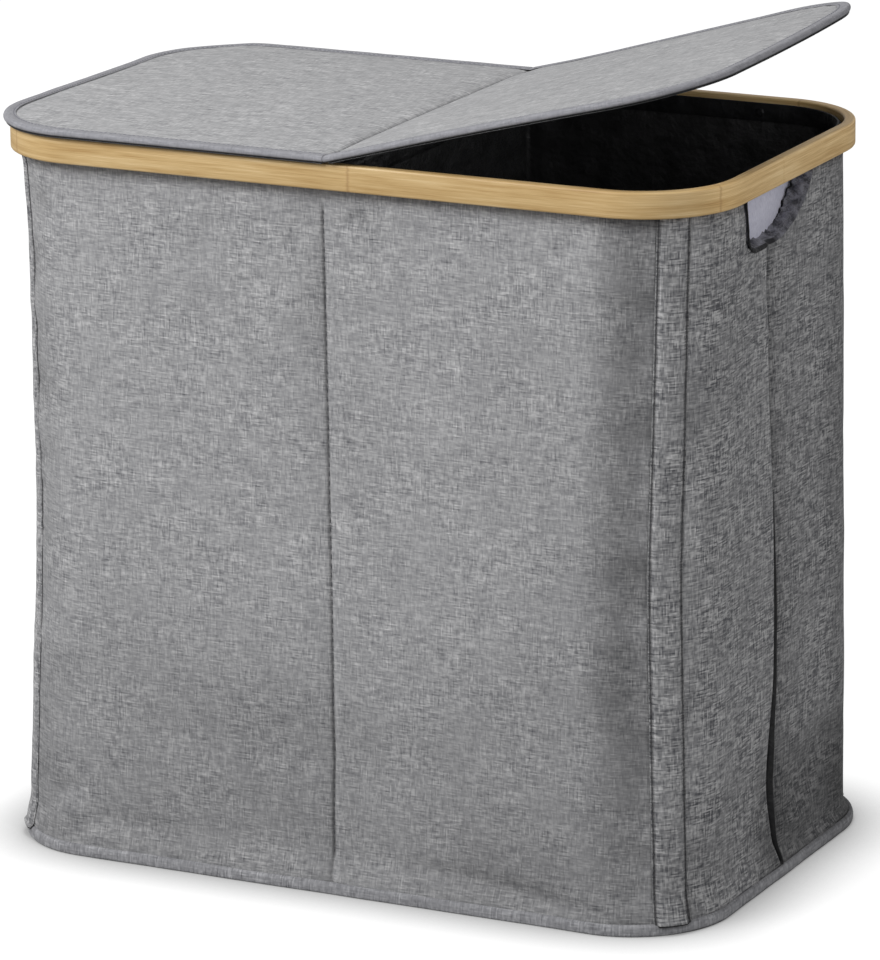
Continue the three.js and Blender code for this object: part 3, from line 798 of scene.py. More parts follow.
# The painted shade along a casing's stitch lines, as darkness and half width, then the dip of the
# cloth there, as depth and half width
CASING_STITCH_LINE = (0.6, 0.0010)
CASING_STITCH_DIP = (0.0005, 0.0007)
CASING_HEM = 0.0009
CASING_EDGE = 0.0113
CASING_EDGE_DROP = 0.0008
CASING_WRINKLES = (30, 1 / 0.012, 0.00035)
CASING_BLOTCHES = (30, 30, 0.05)
CASING_WEAVE_CONTRAST = 0.6
# A casing's foot: how far it narrows and lifts over the hem tape, and how dark the painted shadow on
# its last row is
CASING_FOOT_ROWS = (0, 0.0006, 0.0009, 0.0018, 0.0028)
CASING_FOOT_NARROWER = 0.28
CASING_FOOT_LIFT = 0.0018
CASING_FOOT_TOP = 0.0100
CASING_FOOT_SHADE = 0.85
# Painted shade on the casings: towards the bottom, along their edges and stitches, and over each whole
# strip
CASING_LOW_SHADE = 0.16
CASING_LINES = by_casing(1.0, 0.4, 1.0, 1.0)
CASING_SHADES = by_casing(0.17, 0.04, 0.15, 0.1)
CASING_THICKNESS = 0.0005
# Stitches, as their pitch, length and radius
STITCH = (0.0036, 0.0026, 0.00032)
SEAM_STITCH = (0.0064, 0.0042, 0.00042)


def casing_line(centre, height):
    """The middle of a casing at a height."""
    return centre + curve(height, CASING_STRAY[centre])


def towards_middle(end, side, around, height):
    """Distance from the middle of a casing towards the middle of the front or rear wall."""
    centre = CASINGS[(end, side)]
    off = around - casing_line(centre, height)
    return -off if (centre > 0) == (end == "front") else off


def puckers(centre, around, height):
    """The ripples of the cloth beside a casing."""
    return drift(5 + centre, around * 16, height / PUCKER_PITCH)


def ripple(around, height, seed, across, upward, size):
    """Waves of a size, with so many to the metre across and upward."""
    return size * drift(seed, around * across, height * upward)


def crease(around, height, start, finish, width, rise):
    """A ridge or valley along a line, which fades at its ends."""
    run = np.array(finish) - np.array(start)
    length = np.hypot(*run)
    share = ((around - start[0]) * run[0] + (height - start[1]) * run[1]) / length**2
    off = ((around - start[0]) * run[1] - (height - start[1]) * run[0]) / length
    fade = smooth(share / CREASE_FADE) * smooth((1 - share) / CREASE_FADE)
    return rise * fade * bell(off, width)


# Waves in the wall cloth, as seed, number to the metre across and upward, and size
WAVES = ((1, 11, 8, 0.0011), (2, 34, 26, 0.00035))
TOP_WAVES = (3, 60, 9, 0.0005)
# The middle seams: where the front one's groove ends, and the depth and half width of the groove,
# of the cloth drawn in beside it and of the hollow left of the front one's top
MIDDLE_SEAM_TOP = 0.478
MIDDLE_GROOVE = (0.0013, 0.0011)
MIDDLE_DRAW = (0.0016, 0.014)
MIDDLE_HOLLOW = (0.0030, 0.011)
MIDDLE_HOLLOW_AT = (-0.013, 0.405)
MIDDLE_HOLLOW_RISE = 0.055
CREASE_FADE = 0.25
MIRRORED_CREASE = 0.7


def relief(around, height):
    """How far the wall cloth stands out from its plain surface."""
    away = np.abs(around)
    top = smooth((RIM_BOTTOM - height) / 0.06)
    bottom = smooth((height - HEM_TOP) / 0.06)
    under_rim = smooth((RIM_BOTTOM + 0.004 - height) / 0.016)
    waves = sum(ripple(around, height, *wave) for wave in WAVES)
    out = waves * (0.25 + 0.75 * top * bottom)
    out += ripple(around, height, *TOP_WAVES) * (1 - top)

    # The middle seams
    middle = around - SEAM_LEAN_TOP * np.clip(height / RIM_BOTTOM, 0, 1)
    held = smooth((MIDDLE_SEAM_TOP - height) / 0.008)
    for across in (middle, HALF_ROUND - away):
        out -= line(across, *MIDDLE_GROOVE) * held + line(across, *MIDDLE_DRAW)
    hollow_x, hollow_z = MIDDLE_HOLLOW_AT
    out -= line(middle - hollow_x, *MIDDLE_HOLLOW) * bell(height - hollow_z, MIDDLE_HOLLOW_RISE)

    # The side seams
    for sign in (1, -1):
        behind = sign * around - SIDE_SEAM - seam_shift(height)
        out += curve(height, SEAM_STAND) * bell(behind, SEAM_REACH)
        out -= curve(height, SEAM_DEPTH) * bell(behind, np.where(behind < 0, *SEAM_GROOVES))
        out -= curve(height, SEAM_STEP) * fading(behind, STEP_REACH)

    # The casings: the cloth falls in towards the middle and puckers on both sides
    under_top = 0.35 + 0.65 * smooth((RIM_BOTTOM - height) / 0.12)
    for (end, side), centre in CASINGS.items():
        beside = towards_middle(end, side, around, height) - HOLLOW_START
        deep = bell(beside, np.where(beside < 0, *HOLLOW_WIDTHS))
        out -= HOLLOW_DEPTHS[(end, side)] * deep * under_top
        near = fading(np.abs(around - casing_line(centre, height)) - CASING_HALF, PUCKER_REACH)
        out += 2 * PUCKER_HEIGHTS[(end, side)] * puckers(centre, around, height) * near * bottom

    # The front left corner is drawn in
    out += curve(height, CORNER_PULL) * bell(around - CASING_FRONT_LEFT, CORNER_PULL_WIDTH)

    for start, finish, width, rise in CREASES:
        out += crease(around, height, start, finish, width, rise)
        mirrored = (-0.9 * start[0], start[1]), (-0.9 * finish[0], finish[1])
        if start[0] > WALL_MARKS[1]:
            out += crease(-HALF_ROUND - around, height, *mirrored, width, MIRRORED_CREASE * rise)

    # The cloth flares out over the hem, sharply at the rear
    flare_top = mix(FLARE_TOP, REAR_FLARE_TOP, smooth((away - SIDE_SEAM) / 0.05))
    out += FLARE * smooth((flare_top - height) / (flare_top - HEM_TOP))
    return out * under_rim


# Painted soft shadows in the walls, and painted light where the darkness is below zero, as (distance
# round, height), half width, half height, darkness
SHADES = (
    ((-0.020, 0.105), 0.150, 0.040, 0.10),
    ((-0.012, 0.400), 0.010, 0.050, 0.22),
    ((-0.190, 0.160), 0.050, 0.060, 0.06),
    ((-0.075, 0.060), 0.050, 0.022, 0.07),
    ((0.020, 0.470), 0.016, 0.007, 0.20),
    ((-0.225, 0.462), 0.012, 0.014, 0.12),
    ((-0.130, 0.290), 0.060, 0.090, -0.035),
    ((-0.238, 0.060), 0.024, 0.050, 0.12),
    ((-0.245, 0.330), 0.022, 0.130, 0.12),
    ((0.130, 0.027), 0.075, 0.0075, 0.13),
    ((0.165, 0.180), 0.045, 0.150, 0.06),
    ((0.130, 0.050), 0.070, 0.035, 0.06),
    ((0.050, 0.018), 0.110, 0.018, -0.07),
    ((-0.160, 0.030), 0.050, 0.014, 0.06),
    ((0.013, 0.250), 0.009, 0.170, 0.05),
    ((0.212, 0.185), 0.022, 0.036, 0.11),
    ((0.205, 0.122), 0.022, 0.016, -0.09),
    ((0.2595, 0.022), 0.008, 0.018, 0.16),
)
# Painted shade and painted highlights in lines beside the seams and edges, as darkness and half width
MIDDLE_LINE = (0.45, 0.0011)
REAR_MIDDLE_LINE = (0.3, 0.0011)
MIDDLE_GLEAM = (-0.10, 0.0016)
SIDE_LINE = (0.6, 0.0012)
SIDE_GLEAM = (-0.16, 0.0018)
SIDE_FOOT = (0.48, 0.032)
CASING_LINE = (0.10, 0.0010)
HEM_LINE = (1.0, 0.0011)
HEM_LINE_SHADES = (0.03, 0.26)
# Painted shade that fades away from a seam, as darkness and reach
MIDDLE_FALL = (0.13, 0.006)
SIDE_FALL = (0.54, 0.0155)
# Painted shade below a height, as the height, the fade and the darkness
FOOT_SHADES = ((0.24, 0.14, 0.08), (0.12, 0.10, 0.12), (0.045, 0.03, 0.05))
BLOTCHES = ((8, 13, 9, 0.06), (9, 5, 31, 0.04))
# Painted shade under the rim, round the rear corners, on the side walls, in front and low on the
# sides, over the side walls' rear halves and less at their foot; painted light and shade on the
# puckers; and where the painted shade beside the casings starts and ends
UNDER_RIM_SHADE = 0.22
REAR_TURN_SHADE = 0.22
PUCKER_SHADE = 0.30
SIDE_DARKER = 0.225
FRONT_SHADE = 0.02
SIDE_LOW_SHADE = 0.07
REAR_HALF_SHADE = 0.03
REAR_FOOT_PALER = 0.09
HOLLOW_SHADE_START = 0.006
HOLLOW_SHADE_END = 0.068
SIDE_WALL_START = WALL_MARKS[0] + 0.5 * WALL.radius * QUARTER
REAR_TURN = around_of_side(0.055)
REAR_WALL_START = WALL_MARKS[3] - 0.25 * WALL.radius * QUARTER


def shading(around, height):
    """Painted shade and painted highlights on the wall cloth: in its seams, folds and hollows, under
    the rim, towards the bottom and on the side walls; and how far the side walls' weave contrast is
    raised, standing in for light grazing across them.
    """
    away = np.abs(around)
    middle = around - SEAM_LEAN_TOP * np.clip(height / RIM_BOTTOM, 0, 1)
    sewn = smooth((MIDDLE_SEAM_TOP - height) / 0.006) * smooth((height - 0.018) / 0.012)
    dark = line(middle, *MIDDLE_LINE) * sewn + line(HALF_ROUND - away, *REAR_MIDDLE_LINE)
    dark += MIDDLE_FALL[0] * fading(-middle, MIDDLE_FALL[1])
    dark += line(middle - 0.003, *MIDDLE_GLEAM)
    low = smooth((0.13 - height) / 0.11)
    beside_rear = smooth((REAR_WALL_START - away) / 0.03)
    for sign in (1, -1):
        behind = sign * around - SIDE_SEAM - seam_shift(height)
        rear_half = smooth(behind / 0.002) * smooth((0.19 - behind) / 0.03)
        fall = SIDE_FALL[0] * np.exp(-np.maximum(behind, 0) / SIDE_FALL[1])
        dark += line(behind, *SIDE_LINE) + line(behind + 0.0030, *SIDE_GLEAM)
        dark += rear_half * (REAR_HALF_SHADE + fall * smooth((height - 0.004) / 0.05))
        dark -= REAR_FOOT_PALER * rear_half * smooth((0.055 - height) / 0.03)
        dark += low * line(np.minimum(behind, 0), *SIDE_FOOT)
        dark += REAR_TURN_SHADE * smooth((sign * around - REAR_TURN) / 0.05) * beside_rear
    above_foot = mix(0.3, 1.0, smooth((height - 0.03) / 0.13))
    for (end, side), centre in CASINGS.items():
        beside = towards_middle(end, side, around, height)
        hollow = smooth((beside - HOLLOW_SHADE_START) / 0.004)
        hollow *= smooth((HOLLOW_SHADE_END - beside) / 0.036)
        dark += HOLLOW_SHADES[(end, side)] * hollow * above_foot
        edge = np.abs(around - casing_line(centre, height)) - CASING_HALF
        dark += CASING_LINES[(end, side)] * line(edge - 0.0003, *CASING_LINE)
        dark -= PUCKER_SHADE * puckers(centre, around, height) * fading(edge, PUCKER_REACH)
    for (x, z), half_width, half_height, amount in SHADES:
        dark += line(around - x, amount, half_width) * bell(height - z, half_height)
    foot = sum(shade * smooth((top - height) / fade) for top, fade, shade in FOOT_SHADES)
    sideways = smooth((away - SIDE_WALL_START) / 0.02)
    dark += mix(foot + FRONT_SHADE, SIDE_LOW_SHADE * low, sideways)
    dark += mix(*HEM_LINE_SHADES, sideways) * line(height - HEM_TOP - 0.0008, *HEM_LINE)
    dark += UNDER_RIM_SHADE * smooth((height - (RIM_BOTTOM - 0.011)) / 0.009)
    dark -= sum(ripple(around, height, *blotch) for blotch in BLOTCHES)
    # The side walls: more painted shade, and a raised weave contrast that stands in for light grazing
    # across them
    side_walls = smooth((away - SIDE_WALL_START) / 0.03)
    dark = 1 - (1 - dark) * (1 - SIDE_DARKER * side_walls * beside_rear)
    return triples(dark, side_walls, 0)


def wall_surface(around, height, lift=0.0):
    """Points of the wall's outside, and its outward directions."""
    x, y, across, forward = place(wall_outline(height), around, WALL)
    out = relief(around, height) + lift
    return triples(x + across * out, y + forward * out, height), triples(across, forward, 0)


# Hand holds

HOLD_Y = (HOLD_LOW.y + HOLD_HIGH.y) / 2
HOLD_HALF = (HOLD_HIGH.y - HOLD_LOW.y) / 2 + CLEARANCE
HOLD_DROP = RIM_BOTTOM - HOLD_LOW.z + CLEARANCE
HOLD_POWERS = {-1: 4.5, 1: 1.6}
HOLD_FORWARD = 0.0035


def hold_curve(turn):
    """The edge of a hand hold, hung from the rim: rear at turn 0, lowest halfway, front at pi."""
    sign = np.sign(np.cos(turn))
    power = np.where(sign > 0, HOLD_POWERS[1], HOLD_POWERS[-1])
    half = HOLD_HALF + np.where(sign < 0, HOLD_FORWARD, 0.0)
    y = HOLD_Y + half * sign * np.abs(np.cos(turn)) ** (2 / power)
    return y, RIM_BOTTOM - HOLD_DROP * np.abs(np.sin(turn)) ** (2 / power)


def hold_share(y, height):
    """Below 1 inside a hand hold."""
    power = np.where(y > HOLD_Y, HOLD_POWERS[1], HOLD_POWERS[-1])
    across = np.abs(y - HOLD_Y) / (HOLD_HALF + np.where(y < HOLD_Y, HOLD_FORWARD, 0.0))
    down = np.maximum(RIM_BOTTOM - height, 0) / HOLD_DROP
    return across**power + down**power


HOLD_TURNS = np.linspace(0, math.pi, 721)
HOLD_EDGE = np.stack(hold_curve(HOLD_TURNS), -1)


# Pieces of the body

SHELL_SPACING = 0.0036
FOOT_HEIGHTS = (0.004, 0.0065, 0.0074, 0.0083, 0.0092, 0.0101, 0.0125, 0.0155, 0.0195)
FINE_OFFSETS = (0.0, 0.0007, 0.0014, 0.0024, 0.0038)
SEAM_GAP = 0.0002
SEAM_STITCH_SPAN = (0.026, 0.474)


def shell_heights():
    middle = np.arange(0.0235, RIM_BOTTOM - 0.003, SHELL_SPACING)
    return np.array([SHELL_BOTTOM, *FOOT_HEIGHTS, *middle, RIM_BOTTOM, mix(RIM_BOTTOM, SHELL_TOP, 0.5),
                     SHELL_TOP])


def cut_holds(points):
    """Cut the hand holds in a grid of points: says which faces stay, and draws the cut edge
    to the holds' curve."""
    middle = (points[:-1, :-1] + points[1:, 1:]) / 2
    on_side_wall = np.abs(middle[..., 0]) > WALL.face + WALL.radius * 0.85
    removed = on_side_wall & (middle[..., 2] < RIM_BOTTOM) \
        & (hold_share(middle[..., 1], middle[..., 2]) < 1)
    rows, columns = points.shape[:2]
    touches_cut = np.zeros((rows, columns), bool)
    touches_kept = np.zeros((rows, columns), bool)
    for row in (0, 1):
        for column in (0, 1):
            window = (slice(row, rows - 1 + row), slice(column, columns - 1 + column))
            touches_cut[window] |= removed
            touches_kept[window] |= ~removed
    edge = touches_cut & touches_kept & (points[..., 2] < RIM_BOTTOM - CLEARANCE)
    for row, column in np.argwhere(edge):
        at = points[row, column]
        away = np.hypot(HOLD_EDGE[:, 0] - at[1], HOLD_EDGE[:, 1] - at[2])
        points[row, column, 1:] = HOLD_EDGE[np.argmin(away)]
    return ~removed


def make_shell(end, sign_y):
    seam = SIDE_SEAM + sign_y * SEAM_GAP
    edges = [centre + sign * CASING_HALF for (of_end, _), centre in CASINGS.items() if of_end == end
             for sign in (-1, 1)]
    if sign_y < 0:
        around = spread(-seam, seam, SHELL_SPACING, [0.0, -seam, seam, *edges], FINE_OFFSETS)
    else:
        around = onward(spread(seam, HALF_ROUND, SHELL_SPACING, [seam, HALF_ROUND, *edges],
                               FINE_OFFSETS))
    around, height = np.meshgrid(around, shell_heights())
    around = drawn(around, height)
    points, _ = wall_surface(around, height)
    kept = cut_holds(points)
    shell = make_piece(f"shell_cloth_{end}", points, lattice(*around.shape, keep=kept), grey_cloth,
                       "body", triples(around, height, 0),
                       shade=shading(around, height))
    remove_loose_points(shell.data)
    thicken(shell, CLOTH_THICKNESS)
    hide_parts(f"shell_{end}")


def make_seam_stitches():
    """The stitches of the middle seam in front."""
    heights = spread(*SEAM_STITCH_SPAN, 0.004)
    path, normals = wall_surface(drawn(0 * heights, heights), heights, 0.0001)
    sew("seam_stitches_front", path, normals, *SEAM_STITCH, thread, "body", "grey_fabric")


def remove_loose_points(mesh):
    used = np.zeros(len(mesh.vertices), bool)
    corners = np.zeros(len(mesh.loops), np.int32)
    mesh.loops.foreach_get("vertex_index", corners)
    used[corners] = True
    if used.all():
        return
    edit = bmesh.new()
    edit.from_mesh(mesh)
    edit.verts.ensure_lookup_table()
    bmesh.ops.delete(edit, geom=[edit.verts[i] for i in np.flatnonzero(~used)], context="VERTS")
    edit.to_mesh(mesh)
    edit.free()


def casing_lift(off):
    """Height of a casing over the wall, at a distance from its middle."""
    side = np.abs(off)
    raised = CASING_RISE * smooth((CASING_SHOULDER - side) / (CASING_SHOULDER - CASING_FLAT))
    hem = CASING_HEM - line(side - CASING_STITCH, *CASING_STITCH_DIP)
    drop = smooth((side - CASING_EDGE) / (CASING_HALF - CASING_EDGE))
    return np.maximum(raised, hem) - CASING_EDGE_DROP * drop


def make_casing(end, side):
    centre = CASINGS[(end, side)]
    edge = np.linspace(CASING_FLAT, CASING_HALF, 14)
    offsets = [*-edge[::-1], *np.linspace(-CASING_FLAT, CASING_FLAT, 9)[1:-1], *edge]
    low, high = CASING_FOOT, RIM_BOTTOM - CLEARANCE
    rows = [low + rise for rise in CASING_FOOT_ROWS]
    off, height = np.meshgrid(offsets, [*rows, *spread(low + 0.004, high, 0.004)])
    foot = np.clip(1 - (height - low) / CASING_FOOT_ROUND, 0, 1)
    off = off * (1 - CASING_FOOT_NARROWER * (1 - np.sqrt(1 - foot**2)))
    wrinkles = ripple(off, height, 20 + centre, *CASING_WRINKLES)
    lift = CASING_THICKNESS + casing_lift(off)
    lift += wrinkles * smooth((CASING_HALF - np.abs(off)) / 0.004) - 0.0005 * foot**4
    lift += CASING_FOOT_LIFT * smooth((CASING_FOOT_TOP - height) / 0.002)
    points, _ = wall_surface(casing_line(centre, height) + off, height, lift)
    # Painted shade over the strip, towards the bottom and along the stitches, with random blotches,
    # and a painted shadow on the foot's last row
    dark = CASING_SHADES[(end, side)] + CASING_LOW_SHADE * smooth((0.10 - height) / 0.10)
    dark += CASING_LINES[(end, side)] * line(np.abs(off) - CASING_STITCH, *CASING_STITCH_LINE)
    dark += ripple(off, height, 23 + centre, *CASING_BLOTCHES)
    dark += CASING_FOOT_SHADE * smooth((low + 0.0009 - height) / 0.0003)
    piece = make_piece(f"casing_{end}_{side}", points, lattice(*off.shape), grey_cloth, "body",
                       triples(centre + off, height + 0.3, 0),
                       shade=triples(dark, CASING_WEAVE_CONTRAST, 0))
    thicken(piece, CASING_THICKNESS)
    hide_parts(f"corner_casing_{end}_{side}")
    height = spread(low + 0.004, high, 0.004)
    for label, sign in (("a", -1), ("b", 1)):
        path, normals = wall_surface(casing_line(centre, height) + sign * CASING_STITCH, height,
                                     CASING_THICKNESS + casing_lift(CASING_STITCH))
        sew(f"casing_stitches_{end}_{side}_{label}", path, normals, *STITCH, thread, "body",
            "grey_fabric")


SLAT_HALF = 0.0089
SLAT_BEND = 0.036
SLAT_LEVELS = (0.0002, 0.0014)


def make_slat(end, side):
    """A flat slat, bent to the line of its casing."""
    low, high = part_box(f"corner_slat_{end}_{side}")
    heights = [*spread(low.z, SLAT_BEND, 0.002)[:-1], *spread(SLAT_BEND, high.z, 0.012)]
    columns = np.linspace(-SLAT_HALF, SLAT_HALF, 5)
    faces_of = []
    for level, offsets in zip(SLAT_LEVELS, (columns, columns[::-1])):
        off, height = np.meshgrid(offsets, heights)
        faces_of.append(wall_surface(casing_line(CASINGS[(end, side)], height) + off, height,
                                     level)[0])
    points = np.concatenate(faces_of, 1)
    slat = make_piece(f"slat_{end}_{side}", points, tube(*points.shape[:2]), slat_plastic, "body",
                      sharp=40)
    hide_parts(f"corner_slat_{end}_{side}")


# How far the black piping in the side seams stands out beyond the front half of the wall
PIPING_OUT = ((0.0, 0.0004), (0.02, 0.0016), (0.05, 0.0032), (0.09, 0.0034), (0.115, 0.0020),
              (0.15, 0.0010), (0.2, 0.0006), (0.24, -0.0004), (0.30, -0.0016), (0.44, -0.0016))
PIPING_HALF = 0.0005
PIPING_BEFORE = 0.0024


def make_piping(side, sign):
    """The edge of the lining, caught in a side seam."""
    hold_low = RIM_BOTTOM - HOLD_DROP - 0.001
    heights = spread(HEM_TOP + 0.0005, hold_low, 0.003)
    around = SIDE_SEAM + seam_shift(heights)
    base, outward = wall_surface(sign * around, heights, -0.0008)
    edge, _ = wall_surface(sign * (around - PIPING_BEFORE), heights)
    out = curve(heights, PIPING_OUT) * (1 + 0.2 * drift(90, heights * 90, sign * 3))
    behind = np.array([0.0, 1.0, 0.0])
    tip = edge + outward * out[:, None] + behind * (PIPING_BEFORE + 0.0008)
    across = behind * PIPING_HALF
    points = np.stack([base - across, tip - across, tip + across, base + across], 1)
    make_piece(f"seam_piping_{side}", points, tube(*points.shape[:2]), black_webbing, "body")


BINDING_OUT = HEM_HIGH.x - BASE_HIGH.x
TAPE_ROUND = 0.0016
TAPE_THICKNESS = 0.0006
HEM_TAPE_TOP = 0.0074
# The upper part of the tape, as the distance in from its outermost face and the height
HEM_TAPE_UPPER = ((0.0, 0.0034), (0.0, 0.0048), (0.0002, 0.0060), (0.0006, 0.0068),
                  (0.0011, 0.0073), (0.0018, HEM_TAPE_TOP), (0.0030, 0.0072))
HEM_WEAVE_CONTRAST = 0.3
# Painted shade on the hem tape: all round, towards the rear, and over all but its lowest part; less on
# the sides
HEM_SHADE = 0.04
HEM_REAR_SHADE = 0.30
HEM_HIGH_SHADE = 0.05
HEM_SIDE_PALER = 0.10
# The painted shade along the tape's edges, in front and on the sides
HEM_UPPER_EDGE = (0.04, 0.28)
HEM_LOWER_EDGE = (0.55, 0.70)
HEM_LOWER_EDGE_HEIGHT = (0.0012, 0.0020)
CASING_SHADOW = (0.6, 0.0009)


def hem_shading(around, height):
    """Painted shade on the tape: dark along both edges, more so on the sides, and darker towards the
    rear.
    """
    away = np.abs(around)
    sideways = smooth((away - SIDE_WALL_START) / 0.02)
    lower_edge = mix(*HEM_LOWER_EDGE_HEIGHT, sideways)
    dark = HEM_SHADE + HEM_REAR_SHADE * sideways * smooth((away - SIDE_SEAM - 0.01) / 0.12)
    dark += HEM_HIGH_SHADE * smooth((height - 0.002) / 0.003)
    dark += mix(*HEM_UPPER_EDGE, sideways) * smooth((height - HEM_TAPE_TOP + 0.0013) / 0.0010)
    dark += mix(*HEM_LOWER_EDGE, sideways) * smooth((lower_edge - height) / 0.0010)
    dark -= HEM_SIDE_PALER * sideways
    for centre in CASINGS.values():
        below = smooth((CASING_HALF - np.abs(around - casing_line(centre, height))) / 0.002)
        dark += below * line(height - CASING_FOOT + 0.0004, *CASING_SHADOW)
    return triples(dark, HEM_WEAVE_CONTRAST, 0)


def make_hem():
    """Tape folded round the bottom edge: its top lies on the flare, its foot turns under."""
    bottom = 0.0001
    outer = -BINDING_OUT
    profile = [
        (0.006, bottom + 0.0001),
        (0.002, bottom),
        (outer + TAPE_ROUND, bottom),
        *arc_points((outer + TAPE_ROUND, bottom + TAPE_ROUND), TAPE_ROUND, 270, 180, 4)[1:],
        *((outer + inward, height) for inward, height in HEM_TAPE_UPPER),
    ]
    around = np.linspace(-HALF_ROUND, HALF_ROUND, 421)[:-1]

    def uneven(at, inset, height):
        wave = ripple(at, 0, 31, 30, 0, 0.0004)
        fine = drift(32, at * 150, 0)
        tall = smooth((height - 0.004) / 0.003)
        outermost = smooth(-inset / BINDING_OUT)
        return inset + (wave + 0.0002 * fine) * outermost, height + tall * (wave + 0.00015 * fine)

    hem = sweep("hem_binding", wall_outline, around, profile, WALL, grey_tape, "body",
                looped=True, closed=False, shift=uneven, shade_at=hem_shading)
    thicken(hem, TAPE_THICKNESS, offset=-1.0)
    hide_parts("base_binding")
    path_around = np.linspace(-HALF_ROUND, HALF_ROUND, 900)
    x, y, across, forward = place(wall_outline(HEM_TOP, outer + 0.0002), path_around, WALL)
    sew("hem_stitches", triples(x, y, HEM_TAPE_TOP - 0.0015), triples(across, forward, 0.4),
        *STITCH, lid_thread, "body", "grey_binding")


RIM_ROUND = 0.0016
RIM_JOINT_Y = -0.02


def strip_profile(outer, inner, low, high, radius, steps=4):
    corners = (((outer + radius, low + radius), 270, 180), ((outer + radius, high - radius), 180, 90),
               ((inner - radius, high - radius), 90, 0), ((inner - radius, low + radius), 0, -90))
    profile = []
    for centre, start, finish in corners:
        profile += arc_points(centre, radius, start, finish, steps)
    return profile


def outline_stations(reference, start, finish, spacing=0.003):
    """Stations with the ends of the corners among them."""
    marks = [m for m in (*reference.marks()[:4], *(-reference.marks()[:4]))
             if min(start, finish) < m < max(start, finish)]
    stops = sorted([start, *marks, finish], reverse=bool(start > finish))
    stations = [start]
    for before, after in zip(stops, stops[1:]):
        count = max(1, round(abs(after - before) / spacing))
        stations += list(np.linspace(before, after, count + 1)[1:])
    return np.array(stations)


def rim_shading(around, height):
    """Painted light on the bamboo: it is made paler on the right side and at the rear."""
    corner = RIM.marks()[0] + 0.4 * RIM.radius * QUARTER
    side = smooth((around - corner) / 0.05)
    return triples(0, side, 0)


def make_rim():
    profile = strip_profile(0.0, RIM_THICKNESS, RIM_BOTTOM, RIM_TOP, RIM_ROUND)
    joint = RIM.marks()[1] + RIM.side + RIM_JOINT_Y
    gap = CLEARANCE / 2
    front = outline_stations(RIM, gap - joint, joint - gap)
    rear = onward(outline_stations(RIM, joint + gap, RIM.marks()[4]))
    for end, stations in (("front", front), ("rear", rear)):
        strip = sweep(f"bamboo_{end}", rim_outline, stations, profile, RIM, bamboo, "body",
                      sharp=50, shade_at=rim_shading)
        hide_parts(f"rim_{end}")


def bin_stations(reference, first_x, spacing=0.004):
    """Right-hand stations from the front, at that distance from the middle, round to the rear."""
    half = reference.marks()[4]
    return outline_stations(reference, first_x, half - first_x, spacing)


def make_hem_bands():
    inset = SHELL_THICKNESS + CLEARANCE + CLOTH_THICKNESS + CLEARANCE
    profile = strip_profile(inset, inset + 0.0015, BAND_LOW.z, BAND_HIGH.z, 0.0005, 2)
    for side, sign in SIDES:
        stations = sign * bin_stations(WALL, BAND_LOW.x)
        band = sweep(f"hem_webbing_{side}", wall_outline, stations, profile, WALL, black_webbing,
                     "body", sharp=60)
        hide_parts(f"hem_band_{side}")


LINER_THICKNESS = 0.0006
LINER_GATHER = 0.0016
LINER_FIRST = 0.0021
# The lining's foot, as height over its floor and how far it is drawn in, and its floor's shares
LINER_FOOT = ((0.0016, 0.0012), (0.0006, 0.004), (0.0005, 0.010), (0.0005, 0.02))
LINER_FLOOR = (0.84, 0.68, 0.52, 0.36, 0.2, 0.08)
DIVIDER_STEPS = 70


def make_liner(side, sign):
    """A lining bag: walls, a rounded foot and a floor, in slack black cloth."""
    inset = SHELL_THICKNESS + 2 * CLEARANCE
    stations = bin_stations(WALL, LINER_FIRST)
    heights = spread(SHELL_TOP - CLEARANCE, LINER_BOTTOM + 0.004, 0.005, [RIM_BOTTOM], [0.0])
    rows = [(height, 0.0) for height in heights]
    rows += [(LINER_BOTTOM + rise, draw) for rise, draw in LINER_FOOT]
    grid = []
    for height, draw in rows:
        below_top = smooth((SHELL_TOP - height) / 0.02)
        x, y, across, forward = place(wall_outline(height, inset + draw), stations, WALL)
        dent = -np.minimum(relief(sign * stations, height), 0)
        folds = drift(40, stations * 55, height * 5)
        fine = drift(41, stations * 130, height * 30)
        slack = LINER_GATHER * (0.5 + 0.5 * folds) + 0.0006 * (1 + fine) * 0.5
        slack = dent + slack * below_top
        x, y = x - across * slack, y - forward * slack
        x = np.maximum(x, LINER_FIRST + draw)
        back = np.linspace(y[-1], y[0], DIVIDER_STEPS + 2)[1:-1]
        bulge = 0.001 * (1 + drift(42, back * 30, height * 6)) * below_top
        grid.append(triples([*x, *(LINER_FIRST + draw + bulge)], [*y, *back], height))
    outer = grid[-1]
    middle = np.array([outer[:, 0].mean(), 0.0, 0.0])
    for share in LINER_FLOOR:
        ring = middle + (outer - middle) * np.array([share, share, 1.0])
        lumps = 0.0011 * (1 + drift(43, ring[:, 0] * 22, ring[:, 1] * 22))
        ring[:, 2] = LINER_BOTTOM + 0.0006 + lumps
        grid.append(ring)
    grid = np.array(grid)
    grid[..., 0] *= sign
    rows, count = grid.shape[:2]
    kept = np.ones((rows, count), bool)
    kept[:-1, :-1] = cut_holds(grid)
    piece = make_piece(f"lining_{side}", grid, bag(rows, count, kept), black_cloth, "body")
    remove_loose_points(piece.data)
    thicken(piece, LINER_THICKNESS, offset=1.0 if sign > 0 else -1.0)
    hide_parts(f"liner_{side}")


